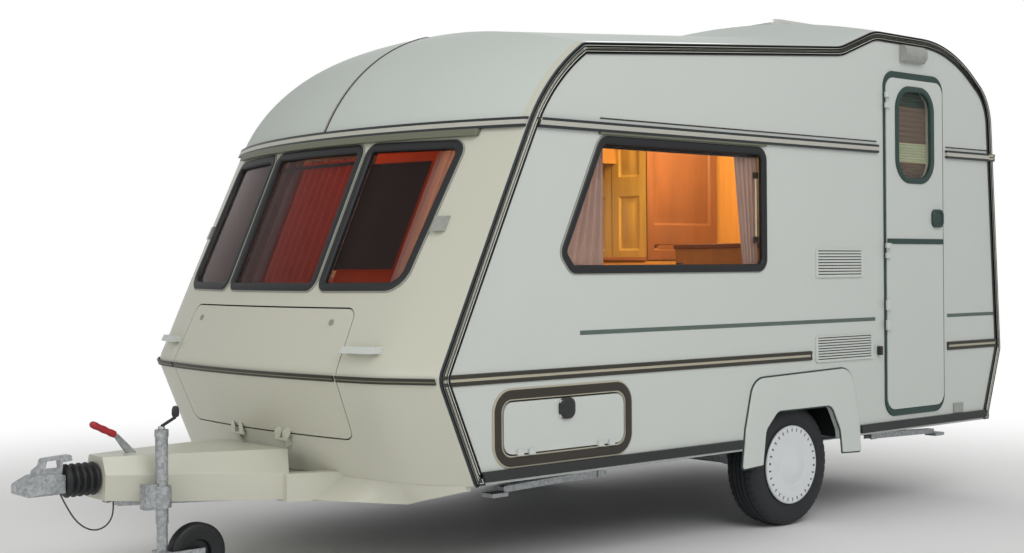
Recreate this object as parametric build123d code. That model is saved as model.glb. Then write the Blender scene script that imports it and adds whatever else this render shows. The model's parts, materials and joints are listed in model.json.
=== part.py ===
from build123d import *
from math import hypot, pi, radians, sqrt, tan
import os

# A travel caravan. Lengths along it are counted from the axle, +X forward, +Y nearside, +Z up

# Body
HALF_WIDTH = 1060
WALL = 28
FLOOR_THICK = 40
BODY_FOOT = 385
BOW_AXIS_X = -590
CROWN_AXIS_Z = -1800
DRIP_Z = 1795
BELT_Z = 787
STERN_SPLIT_Z = 1900
MID_BODY_X = 900

# Corners of the bow at the side wall: x, z, radius
BOW_LINE = [(1888, 250, 0), (2118, 795, 90), (1474, 2175, 850), (-28, 2410, 0)]
# Corners of the roof and stern at the side wall: x, z, radius
ROOF_LINE = [(2700, 2002, 0), (-330, 2252, 250), (-600, 2354, 250), (-1260, 2352, 800),
             (-1633, 2085, 260), (-1742, 300, 0)]
STERN_KNEE_Z = 760
STERN_FOOT_X = -1597
STERN_FOOT_Z = 430

# Rails and strips on the skin
RAIL_WIDTH = 45
RAIL_PROUD = 8
DRIP_HALF = 20
DRIP_PROUD = 14
BELT_HALF = 15
BELT_PROUD = 7
STRIP_LOW_Z = 395
STRIP_HIGH_Z = 436
STRIP_PROUD = 14

# Door, hinged at its front edge, in two halves
DOOR_FRONT_X = -682
DOOR_REAR_X = -1168
DOOR_LOW_Z = 494
DOOR_HIGH_Z = 2133
DOOR_SPLIT_Z = 1324
DOOR_RADIUS = 60
DOOR_GAP = 10
SPLIT_GAP = 6
DOOR_PROUD = 12
DOOR_SURROUND = 20
HINGE_OUT = 26
HINGE_SIDE = 14
KNUCKLE_R = 9
HINGE_SPANS = [(888, 1035), (1241, 1315), (1979, 2057)]

# Running gear
WHEEL_R = 284
TYRE_WIDTH = 165
RIM_R = 165
TRIM_R = 181
WHEEL_OUT_Y = 1012
AXLE_TUBE_X = 150
AXLE_TUBE_Z = 322
AXLE_TUBE_R = 42
STUB_R = 18
STUB_CLEAR = 0.05

# Drawbar and coupling
COUPLING_Z = 412
BALL_X = 3180
BALL_SOCKET_R = 25.3
CHASSIS_HALF_GAUGE = 560
CHASSIS_LOW_Z = 300
MEMBER_THICK = 40
JOCKEY_X = 2788
JOCKEY_Y = 220
JOCKEY_TUBE_R = 24
JOCKEY_TRAIL = 143
JOCKEY_WHEEL_R = 116
JOCKEY_TUBE_Z = (245, 663)
FORK_Z = (100, 140)
COUPLING_SHAFT_X = (2925, 3100)
COUPLING_TIP_X = 3279
FRAME_SPLAY_X = 1735
DRAWBAR_NOSE = (2890, 52)
RAIL_REAR_X = -1500
CROSS_X = (-1300, 1250)
SKIRT_LIP_Z = 298
SKIRT_SHEET = 6
FAIRING_SHEET = 4
SPAT_PROUD = 10
DRUM_Y = 796
DRUM_R = 94
SLOT_COUNT = 30
SLOT_SIZE = (9, 16)
JOCKEY_WHEEL_WIDTH = 62

# Corner steadies
STEADY_Y = 800
STEADY_PIVOT_Z = 330
STEADY_LENGTH = 550
STEADY_FRONT_X = 1040
STEADY_REAR_X = -910
STEADY_SIDE_GAP = 1
GAS_BACK_X = 1850
BENCH_X = (420, 1835)
WASHROOM_X = -1215
VENT_SLATS = 9

RUNNING_GAP = 0.5
PIECE_GAP = 6
PANE = 7

nodes = {}


def loop_face(corners, plane):
    """Closed face in a plane from corners (u, v, radius)."""
    points = [(u, v) for u, v, radius in corners]
    radii = [radius for u, v, radius in corners]
    return plane * make_face(FilletPolyline(*points, radius=radii, close=True))


def side_prism(corners, y_low, y_high):
    """An outline in x and z, carried across the caravan."""
    return extrude(Pos(0, y_low, 0) * loop_face(corners, Plane.XZ), amount=y_high - y_low, dir=(0, 1, 0))


def front_prism(corners, x_low, x_high):
    """An outline in y and z, carried along the caravan."""
    return extrude(Pos(x_low, 0, 0) * loop_face(corners, Plane.YZ), amount=x_high - x_low, dir=(1, 0, 0))


def plan_prism(corners, z_low, z_high):
    """An outline in x and y, carried upwards."""
    return extrude(Pos(0, 0, z_low) * loop_face(corners, Plane.XY), amount=z_high - z_low, dir=(0, 0, 1))


def block(x_low, x_high, y_low, y_high, z_low, z_high):
    middle = ((x_low + x_high) / 2, (y_low + y_high) / 2, (z_low + z_high) / 2)
    return Pos(*middle) * Box(x_high - x_low, y_high - y_low, z_high - z_low)


def rod(start, end, radius):
    reach = Vector(*end) - Vector(*start)
    low = (Align.CENTER, Align.CENTER, Align.MIN)
    return Plane(origin=start, z_dir=reach) * Cylinder(radius, reach.length, align=low)


def both_sides(shape):
    return Compound(children=[*shape.solids(), *mirror(shape, about=Plane.XZ).solids()])


def group(*shapes):
    return Compound(children=[solid for shape in shapes for solid in shape.solids()])


def moved_left(corners, gap, closed=False):
    """Corners of an outline with every edge moved to the left of its direction."""
    moved = []
    last = len(corners) - 1
    for i, (u, v, radius) in enumerate(corners):
        before = corners[i - 1] if i > 0 or closed else None
        after = corners[(i + 1) % len(corners)] if i < last or closed else None
        normals = []
        for a, b in ((before, (u, v)), ((u, v), after)):
            if a and b:
                length = hypot(b[0] - a[0], b[1] - a[1])
                normals.append(((a[1] - b[1]) / length, (b[0] - a[0]) / length))
        first, second = normals[0], normals[-1]
        shift = gap / (1 + first[0] * second[0] + first[1] * second[1])
        turn = first[0] * second[1] - first[1] * second[0]
        new_radius = max(radius - gap if turn > 0 else radius + gap, 0) if radius else 0
        moved.append((u + shift * (first[0] + second[0]), v + shift * (first[1] + second[1]), new_radius))
    return moved


def shrunk(corners, gap):
    """A closed outline, counted against the clock, made smaller by a gap."""
    return moved_left(corners, gap, closed=True)


def bow_radius(x):
    """Plan radius of the bow where it meets the side wall at x."""
    return hypot(x - BOW_AXIS_X, HALF_WIDTH)


def crowned(z):
    """Height on the centreline of a roof whose edge at the side wall is at z."""
    return CROWN_AXIS_Z + hypot(z - CROWN_AXIS_Z, HALF_WIDTH)


def hull(inset, y_low=-HALF_WIDTH, y_high=HALF_WIDTH, foot=BODY_FOOT):
    """Solid inside the body's skin, moved inwards by an inset, between two side planes."""
    top = 2900
    bow = moved_left([(BOW_AXIS_X + bow_radius(x), z, r) for x, z, r in BOW_LINE], inset)
    (low_x, low_z, _), (high_x, high_z, _) = bow[0], bow[-1]
    bow += [(high_x - WALL, top, 0), (BOW_AXIS_X, top, 0), (BOW_AXIS_X, 0, 0), (low_x, 0, 0)]
    bow_solid = revolve(loop_face(bow, Plane.XZ), Axis((BOW_AXIS_X, 0, 0), (0, 0, 1)), 360)
    roof = moved_left([(x, crowned(z), r) for x, z, r in ROOF_LINE], inset)
    base = -600
    roof += [(roof[-1][0], base, 0), (roof[0][0], base, 0)]
    swing = 40
    crown_axis = Axis((0, 0, CROWN_AXIS_Z), (1, 0, 0))
    roof_face = loop_face(roof, Plane.XZ).rotate(crown_axis, -swing)
    roof_solid = revolve(roof_face, crown_axis, 2 * swing)
    body = bow_solid & roof_solid
    reach = 2 * HALF_WIDTH
    knee_x = stern_knee_x() + inset
    foot_x = STERN_FOOT_X + inset
    tucked = [(foot_x, 0, 0), (foot_x, STERN_FOOT_Z, 0), (knee_x, STERN_KNEE_Z, 0), (-reach, STERN_KNEE_Z, 0),
              (-reach, 0, 0)]
    body -= side_prism(tucked, -reach, reach)
    return body & block(-reach, 2 * reach, y_low, y_high, foot, top)


def stern_knee_x():
    (x_high, z_high, _), (x_low, z_low, _) = ROOF_LINE[-2:]
    return x_high + (x_low - x_high) * (z_high - STERN_KNEE_Z) / (z_high - z_low)


# Openings: corners of each outline, counted against the clock
# x, z, radius of the side window's rubber frame
SIDE_WINDOW = [(226, 1180, 60), (1440, 1180, 60), (1503, 1262, 60), (1275, 1742, 70), (226, 1742, 60)]
# x, z, radius of the kitchen window on the far side
KITCHEN_WINDOW = [(-760, 1262, 60), (-180, 1262, 60), (-180, 1700, 60), (-760, 1700, 60)]
# y, z, radius of the washroom window in the stern
STERN_WINDOW = [(-310, 1330, 60), (310, 1330, 60), (310, 1720, 60), (-310, 1720, 60)]
# y, z, radius of the middle front window and the nearside one
MID_PANE = [(-352, 1115, 50), (352, 1115, 50), (352, 1722, 50), (-352, 1722, 50)]
NEAR_PANE = [(366, 1115, 50), (812, 1118, 60), (852, 1712, 60), (366, 1722, 50)]
FRAME_WIDTH = 26
FRAME_PROUD = 8
PANE_LAP = 18
# x, z, radius of the arch opening and of the spat over it
ARCH = [(-322, 300, 0), (268, 300, 0), (245, 467, 60), (160, 547, 60), (-240, 547, 60), (-308, 424, 60)]
SPAT = [(-465, 312, 12), (-322, 318, 0), (-308, 424, 60), (-240, 547, 60), (160, 547, 60), (245, 467, 60),
        (268, 311, 0), (406, 304, 12), (383, 477, 120), (325, 700, 90), (-385, 717, 90), (-440, 520, 120)]
# x, z, radius of the side locker's leaf
LOCKER_LEAF = [(1153, 490, 45), (1800, 490, 45), (1800, 690, 45), (1153, 690, 45)]
LOCKER_SURROUND = 42
# y, z, radius of the gas locker's lid
GAS_LID = [(-548, 525, 45), (548, 525, 45), (605, 1050, 35), (-605, 1050, 35)]
SURROUND_PROUD = 7

skin = hull(0, foot=0)
lining = hull(WALL, foot=0)
INNER_Y = HALF_WIDTH - WALL
FAR_FRONT = 2700
BEHIND = -2000
ABOVE = 2900
DOOR_LEAF = [(DOOR_REAR_X, DOOR_LOW_Z, DOOR_RADIUS), (DOOR_FRONT_X, DOOR_LOW_Z, DOOR_RADIUS),
             (DOOR_FRONT_X, DOOR_HIGH_Z, DOOR_RADIUS), (DOOR_REAR_X, DOOR_HIGH_Z, DOOR_RADIUS)]
# x, z, radius of the upper leaf's window
DOOR_WINDOW = [(-1086, 1615, 120), (-757, 1615, 120), (-757, 2098, 120), (-1086, 2098, 120)]


def ring(outline, width, y_low, y_high):
    return side_prism(outline, y_low, y_high) - side_prism(shrunk(outline, width), y_low, y_high)


def far_outline(outline):
    """The same outline, counted against the clock, on the other side of the centreline."""
    return [(-y, z, radius) for y, z, radius in reversed(outline)]


def side_wall(windows, with_door):
    wall = hull(0, INNER_Y, HALF_WIDTH)
    for window in windows:
        wall -= side_prism(shrunk(window, PANE_LAP), INNER_Y, HALF_WIDTH)
    wall -= side_prism(ARCH, INNER_Y, HALF_WIDTH)
    if with_door:
        wall -= side_prism(shrunk(DOOR_LEAF, -DOOR_GAP), INNER_Y, HALF_WIDTH)
        wall -= side_prism(shrunk(LOCKER_LEAF, -PIECE_GAP), INNER_Y, HALF_WIDTH)
    return wall


def body_shell():
    nodes["left_side_wall"] = side_wall([SIDE_WINDOW], True)
    nodes["right_side_wall"] = mirror(side_wall([SIDE_WINDOW, KITCHEN_WINDOW], False), about=Plane.XZ)
    middle = (skin - lining) & block(BEHIND, FAR_FRONT, -INNER_Y, INNER_Y, BODY_FOOT, ABOVE)
    bow = middle & block(MID_BODY_X, FAR_FRONT, -INNER_Y, INNER_Y, BODY_FOOT, DRIP_Z)
    for outline in (MID_PANE, NEAR_PANE, far_outline(NEAR_PANE)):
        bow -= front_prism(shrunk(outline, PANE_LAP), MID_BODY_X, FAR_FRONT)
    nodes["front_panel"] = bow - front_prism(shrunk(GAS_LID, -PIECE_GAP), MID_BODY_X, FAR_FRONT)
    stern = middle & block(BEHIND, -MID_BODY_X, -INNER_Y, INNER_Y, BODY_FOOT, STERN_SPLIT_Z)
    nodes["rear_panel"] = stern - front_prism(shrunk(STERN_WINDOW, PANE_LAP), BEHIND, 0)
    split = [(BEHIND, STERN_SPLIT_Z, 0), (-MID_BODY_X, STERN_SPLIT_Z, 0), (0, DRIP_Z, 0), (FAR_FRONT, DRIP_Z, 0),
             (FAR_FRONT, ABOVE, 0), (BEHIND, ABOVE, 0)]
    roof = middle & side_prism(split, -INNER_Y, INNER_Y)
    nodes["roof_panel"] = roof - roof_hatch(0, -ABOVE, ABOVE)
    floor = lining & block(BEHIND, FAR_FRONT, -INNER_Y, INNER_Y, BODY_FOOT, BODY_FOOT + FLOOR_THICK)
    well = block(*BOX_X, BOX_INNER_Y, INNER_Y, 0, BOX_TOP)
    box = well & block(*BOX_X, BOX_INNER_Y, INNER_Y, BODY_FOOT, ABOVE)
    box -= block(BOX_X[0] + BOX_SHEET, BOX_X[1] - BOX_SHEET, BOX_INNER_Y + BOX_SHEET, HALF_WIDTH, 0,
                 BOX_TOP - BOX_SHEET)
    nodes["floor"] = floor - well - mirror(well, about=Plane.XZ) + box + mirror(box, about=Plane.XZ)


# Rooflight in the raised part of the roof
HATCH_X = -1120
HATCH_LENGTH = 500
HATCH_WIDTH = 480
HATCH_RADIUS = 60
HATCH_RIM = 28
HATCH_RIM_TOP = 2512
HATCH_LID_TOP = 2556
# Wheel boxes
BOX_X = (-352, 330)
BOX_INNER_Y = 805
BOX_TOP = 640
BOX_SHEET = 6


def hatch_outline(grow):
    half_l, half_w = HATCH_LENGTH / 2 + grow, HATCH_WIDTH / 2 + grow
    return [(HATCH_X + s * half_l, t * half_w, HATCH_RADIUS) for s, t in ((-1, -1), (1, -1), (1, 1), (-1, 1))]


def roof_hatch(grow, z_low, z_high):
    return plan_prism(hatch_outline(grow), z_low, z_high)


def skin_layer(proud, y_limit=INNER_Y + WALL):
    """Thin layer on the outside of the skin."""
    return hull(-proud, -y_limit, y_limit, foot=0) - skin


def skin_trims():
    outer = hull(0, HALF_WIDTH, HALF_WIDTH + RAIL_PROUD)
    inner = hull(RAIL_WIDTH, HALF_WIDTH, HALF_WIDTH + RAIL_PROUD, foot=0)
    nodes["awning_rails"] = both_sides(outer - inner)
    flat = hull(RAIL_WIDTH, HALF_WIDTH, HALF_WIDTH + DRIP_PROUD, foot=0)
    band = block(BEHIND, FAR_FRONT, 0, FAR_FRONT, DRIP_Z - 2 * DRIP_HALF, DRIP_Z)
    side_drip = flat & band
    gate = block(DOOR_REAR_X - DOOR_SURROUND - DOOR_GAP - 12, DOOR_FRONT_X + 2 * DOOR_SURROUND + DOOR_GAP + 12,
                 0, FAR_FRONT, 0, ABOVE)
    near, far = side_drip - gate, mirror(side_drip, about=Plane.XZ)
    front = skin_layer(DRIP_PROUD) & block(MID_BODY_X, FAR_FRONT, -HALF_WIDTH, HALF_WIDTH, DRIP_Z - 2 * DRIP_HALF,
                                           DRIP_Z)
    nodes["drip_rails"] = group(near, far, front)
    thin = hull(RAIL_WIDTH, HALF_WIDTH, HALF_WIDTH + BELT_PROUD, foot=0)
    belt = thin & block(BEHIND, FAR_FRONT, 0, FAR_FRONT, BELT_Z - BELT_HALF, BELT_Z + BELT_HALF)
    front = skin_layer(BELT_PROUD) & block(MID_BODY_X, FAR_FRONT, -HALF_WIDTH, HALF_WIDTH, BELT_Z - BELT_HALF,
                                           BELT_Z + BELT_HALF)
    lid_zone = front_prism(shrunk(GAS_LID, -PIECE_GAP), MID_BODY_X, FAR_FRONT)
    lower_vent = block(-600, -99, 0, FAR_FRONT, 0, ABOVE)
    nodes["belt_rails"] = group(belt - gate - lower_vent, mirror(belt, about=Plane.XZ), front - lid_zone)
    strip = hull(RAIL_WIDTH, HALF_WIDTH, HALF_WIDTH + STRIP_PROUD, foot=0)
    strip &= block(BEHIND, FAR_FRONT, 0, FAR_FRONT, STRIP_LOW_Z, STRIP_HIGH_Z)
    nodes["rubbing_strips"] = both_sides(strip - block(SPAT[0][0] - 3, SPAT[7][0] + 3, 0, FAR_FRONT, 0, ABOVE))


def windows():
    frame_layer = skin_layer(FRAME_PROUD)
    pane_layer = skin - hull(PANE, foot=0)
    frames, panes = [], []
    for outline in (MID_PANE, NEAR_PANE, far_outline(NEAR_PANE)):
        whole = front_prism(outline, MID_BODY_X, FAR_FRONT)
        frames.append((frame_layer & whole) - front_prism(shrunk(outline, FRAME_WIDTH), MID_BODY_X, FAR_FRONT))
        panes.append(pane_layer & front_prism(shrunk(outline, PANE_LAP), MID_BODY_X, FAR_FRONT))
    nodes["front_window_panes"] = group(*panes)
    stern_frame = (frame_layer & front_prism(STERN_WINDOW, BEHIND, 0))
    stern_frame -= front_prism(shrunk(STERN_WINDOW, FRAME_WIDTH), BEHIND, 0)
    stern_pane = pane_layer & front_prism(shrunk(STERN_WINDOW, PANE_LAP), BEHIND, 0)
    frames.append(stern_frame)
    panes = [stern_pane]
    for outline in (SIDE_WINDOW, KITCHEN_WINDOW):
        frame = ring(outline, FRAME_WIDTH, HALF_WIDTH, HALF_WIDTH + FRAME_PROUD)
        pane = side_prism(shrunk(outline, PANE_LAP), HALF_WIDTH - 2 * PANE, HALF_WIDTH - PANE)
        frames.append(mirror(frame, about=Plane.XZ))
        panes.append(mirror(pane, about=Plane.XZ))
        if outline is SIDE_WINDOW:
            frames.append(frame)
            panes.append(pane)
    nodes["window_frames"] = group(*frames)
    nodes["side_window_panes"] = group(*panes)
    hood_x = (230, 1278)
    hood_z = 1745
    hood = block(*hood_x, HALF_WIDTH, HALF_WIDTH + 2 * RAIL_PROUD, hood_z, DRIP_Z - 2 * DRIP_HALF)
    brow = skin_layer(22) & block(MID_BODY_X, FAR_FRONT, -885, 885, 1726, DRIP_Z - 2 * DRIP_HALF)
    nodes["window_hoods"] = group(both_sides(hood), brow)


def door_leaf(z_low, z_high):
    leaf = side_prism(DOOR_LEAF, INNER_Y, HALF_WIDTH + DOOR_PROUD)
    return leaf & block(BEHIND, 0, 0, FAR_FRONT, z_low, z_high)


LID_HINGE_LENGTH = 90
LID_KNUCKLE_R = 6
LID_HINGES = (-215, 125)
LID_PIN = (2222, 515)
LOCKER_HINGES = (1215, 1648)
LOCKER_PIN = (1073.5, 487)
# x and z of the arms that carry the gas locker lid's knuckles, on the lid and on the panel below it
LID_ARM = [(2216, 515, 0), (2228, 515, 0), (2228, 548, 0), (2208, 548, 0)]
PANEL_ARM = [(2186, 482, 0), (2212, 482, 0), (2228, 515, 0), (2216, 515, 0), (2193, 507, 0)]
HINGE_X = DOOR_FRONT_X + HINGE_SIDE
HINGE_Y = HALF_WIDTH + HINGE_OUT
THIRD_GAP = 0.4


def thirds(low, high):
    """Three spans in a row, a small gap apart."""
    step = (high - low) / 3
    return [(low + i * step + THIRD_GAP, low + (i + 1) * step - THIRD_GAP) for i in range(3)]


def knuckles(span, own, reach_x, seat_y):
    """Hinge barrels on the door's axis and the webs that carry them."""
    pieces = None
    for index in own:
        z0, z1 = thirds(*span)[index]
        barrel = rod((HINGE_X, HINGE_Y, z0), (HINGE_X, HINGE_Y, z1), KNUCKLE_R)
        x0, x1 = min(HINGE_X, reach_x), max(HINGE_X, reach_x)
        web = block(x0, x1, seat_y, HINGE_Y, z0, z1)
        pieces = barrel + web if pieces is None else pieces + barrel + web
    return pieces


def entrance_door():
    surround = shrunk(DOOR_LEAF, -DOOR_GAP - DOOR_SURROUND)
    frame = ring(surround, DOOR_SURROUND, HALF_WIDTH, HALF_WIDTH + SURROUND_PROUD)
    frame_seat = HALF_WIDTH + SURROUND_PROUD
    plate_x = DOOR_FRONT_X + DOOR_GAP + DOOR_SURROUND
    upper = door_leaf(DOOR_SPLIT_Z + SPLIT_GAP / 2, DOOR_HIGH_Z) - side_prism(
        shrunk(DOOR_WINDOW, PANE_LAP), 0, FAR_FRONT)
    lower = door_leaf(DOOR_LOW_Z, DOOR_SPLIT_Z - SPLIT_GAP / 2)
    leaf_face = HALF_WIDTH + DOOR_PROUD
    for span in HINGE_SPANS:
        frame += knuckles(span, (1,), plate_x, frame_seat)
        arms = knuckles(span, (0, 2), DOOR_FRONT_X - DOOR_SURROUND, leaf_face)
        if span[0] > DOOR_SPLIT_Z:
            upper += arms
        else:
            lower += arms
    locker_surround = shrunk(LOCKER_LEAF, -PIECE_GAP - LOCKER_SURROUND)
    nodes["door_surrounds"] = group(frame, ring(locker_surround, LOCKER_SURROUND, HALF_WIDTH, frame_seat))
    nodes["upper_door"] = upper
    nodes["lower_door"] = lower
    nodes["upper_door_pane"] = side_prism(shrunk(DOOR_WINDOW, PANE_LAP), leaf_face - 2 * PANE, leaf_face - PANE)
    nodes["upper_door_window_frame"] = ring(DOOR_WINDOW, FRAME_WIDTH, leaf_face, leaf_face + FRAME_PROUD)
    handle_x = (-1160, -1062)
    handle_z = (1396, 1488)
    plate = block(*handle_x, leaf_face, leaf_face + 8, *handle_z)
    lever = block(handle_x[0] + 12, handle_x[1] - 12, leaf_face + 8, leaf_face + 20, handle_z[0] + 30,
                  handle_z[0] + 52)
    nodes["door_handle"] = plate + lever


def side_locker():
    leaf_face = HALF_WIDTH + SURROUND_PROUD
    leaf = side_prism(LOCKER_LEAF, INNER_Y, leaf_face) + block(1437, 1513, leaf_face, leaf_face + 10, 615, 684)
    carrier = None
    for low in LOCKER_HINGES:
        for index, (x0, x1) in enumerate(thirds(low, low + LID_HINGE_LENGTH)):
            knuckle = rod((x0, *LOCKER_PIN), (x1, *LOCKER_PIN), LID_KNUCKLE_R)
            pin_y, pin_z = LOCKER_PIN
            arm_z = (pin_z - 22, pin_z) if index == 1 else (pin_z, pin_z + 20)
            knuckle += block(x0, x1, leaf_face - 1, pin_y + 3, *arm_z)
            if index == 1:
                carrier = knuckle if carrier is None else carrier + knuckle
            else:
                leaf += knuckle
    nodes["side_locker_door"] = leaf
    nodes["door_surrounds"] = group(nodes["door_surrounds"].solids()[0], nodes["door_surrounds"].solids()[1] + carrier)


def gas_locker():
    lid = (skin - lining) & front_prism(GAS_LID, MID_BODY_X, FAR_FRONT)
    for low in LID_HINGES:
        for index, (y0, y1) in enumerate(thirds(low, low + LID_HINGE_LENGTH)):
            knuckle = rod((LID_PIN[0], y0, LID_PIN[1]), (LID_PIN[0], y1, LID_PIN[1]), LID_KNUCKLE_R)
            knuckle += side_prism(PANEL_ARM if index == 1 else LID_ARM, y0, y1)
            if index == 1:
                nodes["front_panel"] += knuckle
            else:
                lid += knuckle
    nodes["gas_locker_lid"] = lid
    layer = skin_layer(FRAME_PROUD)
    catches = [layer & front_prism([(y - 22, 985, 8), (y + 22, 985, 8), (y + 22, 1015, 8), (y - 22, 1015, 8)],
                                   MID_BODY_X, FAR_FRONT) for y in (-520, 520)]
    belt = skin_layer(BELT_PROUD) & block(MID_BODY_X, FAR_FRONT, -590, 590, BELT_Z - BELT_HALF, BELT_Z + BELT_HALF)
    nodes["gas_locker_trim"] = group(*catches, belt & front_prism(shrunk(GAS_LID, 1), MID_BODY_X, FAR_FRONT))
    back_x = GAS_BACK_X
    roof_z = 1085
    box = block(back_x, FAR_FRONT, -640, 640, BODY_FOOT + FLOOR_THICK, roof_z) & lining
    hollow = block(back_x + 15, FAR_FRONT, -625, 625, BODY_FOOT + FLOOR_THICK, roof_z - 15)
    nodes["gas_locker_box"] = box - hollow



# Spats, wheel boxes and running gear
def spats():
    nodes["wheel_spats"] = both_sides(side_prism(SPAT, HALF_WIDTH, HALF_WIDTH + SPAT_PROUD))


def wheel_turned(corners):
    """A profile in y and radius, turned about the wheel's axle."""
    profile = [(y, WHEEL_R + radius, corner) for y, radius, corner in corners]
    return revolve(loop_face(profile, Plane.YZ), Axis((0, 0, WHEEL_R), (0, 1, 0)), 360)


def wheels():
    out_y, in_y = WHEEL_OUT_Y, WHEEL_OUT_Y - TYRE_WIDTH
    bead, mid_r = 14, 226
    tyre = wheel_turned([(in_y + bead, RIM_R, 4), (out_y - bead, RIM_R, 4), (out_y, mid_r, 45),
                         (out_y - 7, WHEEL_R, 26), (in_y + 7, WHEEL_R, 26), (in_y, mid_r, 45)])
    bore = STUB_R + STUB_CLEAR
    barrel = wheel_turned([(in_y + bead, RIM_R - 12, 0), (out_y - bead, RIM_R - 12, 0), (out_y - bead, RIM_R, 0),
                           (in_y + bead, RIM_R, 0)])
    disc_y = out_y - 48
    disc = wheel_turned([(disc_y, bore, 0), (disc_y + 6, bore, 0), (disc_y + 6, RIM_R - 10, 0),
                         (disc_y, RIM_R - 10, 0)])
    drum = wheel_turned([(DRUM_Y, bore, 0), (disc_y, bore, 0), (disc_y, 62, 0), (in_y + 18, 62, 0),
                         (in_y + 18, DRUM_R, 0), (DRUM_Y, DRUM_R, 0)])
    rim = barrel + disc + drum
    face = out_y + 6
    trim = wheel_turned([(out_y - bead, 150, 0), (face - 6, 150, 0), (face - 6, 0, 0), (face + 6, 0, 0),
                         (face + 6, 44, 8), (face - 1, 90, 10), (face + 1, 138, 6), (face + 1, TRIM_R - 6, 4),
                         (face - 4, TRIM_R, 2), (out_y - 5, TRIM_R, 2), (out_y - 5, 158, 0), (out_y - bead, 158, 0)])
    slot = Pos(0, face, WHEEL_R + 161) * Box(SLOT_SIZE[0], 8, SLOT_SIZE[1])
    for index in range(SLOT_COUNT):
        trim -= slot.rotate(Axis((0, 0, WHEEL_R), (0, 1, 0)), 360 / SLOT_COUNT * index)
    rim += trim
    for side in ("left", "right"):
        for name, shape in (("tyre", tyre), ("wheel", rim)):
            nodes[side + "_" + name] = shape if side == "left" else mirror(shape, about=Plane.XZ)


def drawbar_member(grow, z_low, z_high):
    """The nearside leg of the drawbar, in plan between the chassis rail and the nose."""
    half = MEMBER_THICK / 2 + grow
    nose_x, nose_y = DRAWBAR_NOSE
    root_y = CHASSIS_HALF_GAUGE + 28
    return plan_prism([(FRAME_SPLAY_X, root_y - half, 0), (nose_x, nose_y - half, 0), (nose_x, nose_y + half, 0),
                       (FRAME_SPLAY_X, root_y + half, 0)], z_low, z_high)


def chassis():
    tube_end = 745
    tube = rod((AXLE_TUBE_X, -tube_end, AXLE_TUBE_Z), (AXLE_TUBE_X, tube_end, AXLE_TUBE_Z), AXLE_TUBE_R)
    nodes["axle_tube"] = tube
    arm_y = (tube_end, DRUM_Y - 6)
    eye = 46
    arm = rod((AXLE_TUBE_X, arm_y[0], AXLE_TUBE_Z), (AXLE_TUBE_X, arm_y[1], AXLE_TUBE_Z), eye)
    arm += rod((0, arm_y[0], WHEEL_R), (0, arm_y[1], WHEEL_R), eye - 8)
    half = 30
    arm += side_prism([(0, WHEEL_R - half, 0), (AXLE_TUBE_X, AXLE_TUBE_Z - half, 0),
                       (AXLE_TUBE_X, AXLE_TUBE_Z + half, 0), (0, WHEEL_R + half, 0)], *arm_y)
    arm += rod((0, arm_y[1], WHEEL_R), (0, WHEEL_OUT_Y - 38, WHEEL_R), STUB_R)
    nodes["swing_arms"] = both_sides(arm)
    low, high, gauge, flange, sheet = CHASSIS_LOW_Z, BODY_FOOT, CHASSIS_HALF_GAUGE, 55, 5
    channel = [(gauge, low, 0), (gauge + flange, low, 0), (gauge + flange, low + sheet, 0),
               (gauge + sheet, low + sheet, 0), (gauge + sheet, high - sheet, 0), (gauge + flange, high - sheet, 0),
               (gauge + flange, high, 0), (gauge, high, 0)]
    rail = front_prism(channel, RAIL_REAR_X, FRAME_SPLAY_X)
    bore = rod((AXLE_TUBE_X, 0, AXLE_TUBE_Z), (AXLE_TUBE_X, HALF_WIDTH, AXLE_TUBE_Z), AXLE_TUBE_R + RUNNING_GAP)
    rail -= bore
    frame = rail + mirror(rail, about=Plane.XZ)
    for x in CROSS_X:
        frame += block(x, x + 50, -gauge, gauge, low + 20, high)
    nodes["chassis_rails"] = frame
    nose_x = DRAWBAR_NOSE[0]
    member = drawbar_member(0, low + 5, high - 1)
    nose = block(nose_x - 120, COUPLING_SHAFT_X[0] + 20, -60, 60, COUPLING_Z - 52, COUPLING_Z + 40)
    shaft = rod((COUPLING_SHAFT_X[0], 0, COUPLING_Z), (COUPLING_SHAFT_X[1], 0, COUPLING_Z), 24)
    nodes["drawbar"] = member + mirror(member, about=Plane.XZ) + nose + shaft


def clamp_arm(grow):
    """The jockey clamp's arm, from the tube to the drawbar's nearside leg."""
    return block(JOCKEY_X - 18 - grow, JOCKEY_X + 18 + grow, 90, JOCKEY_Y, 318 - 10 * grow, 372 + grow)


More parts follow.
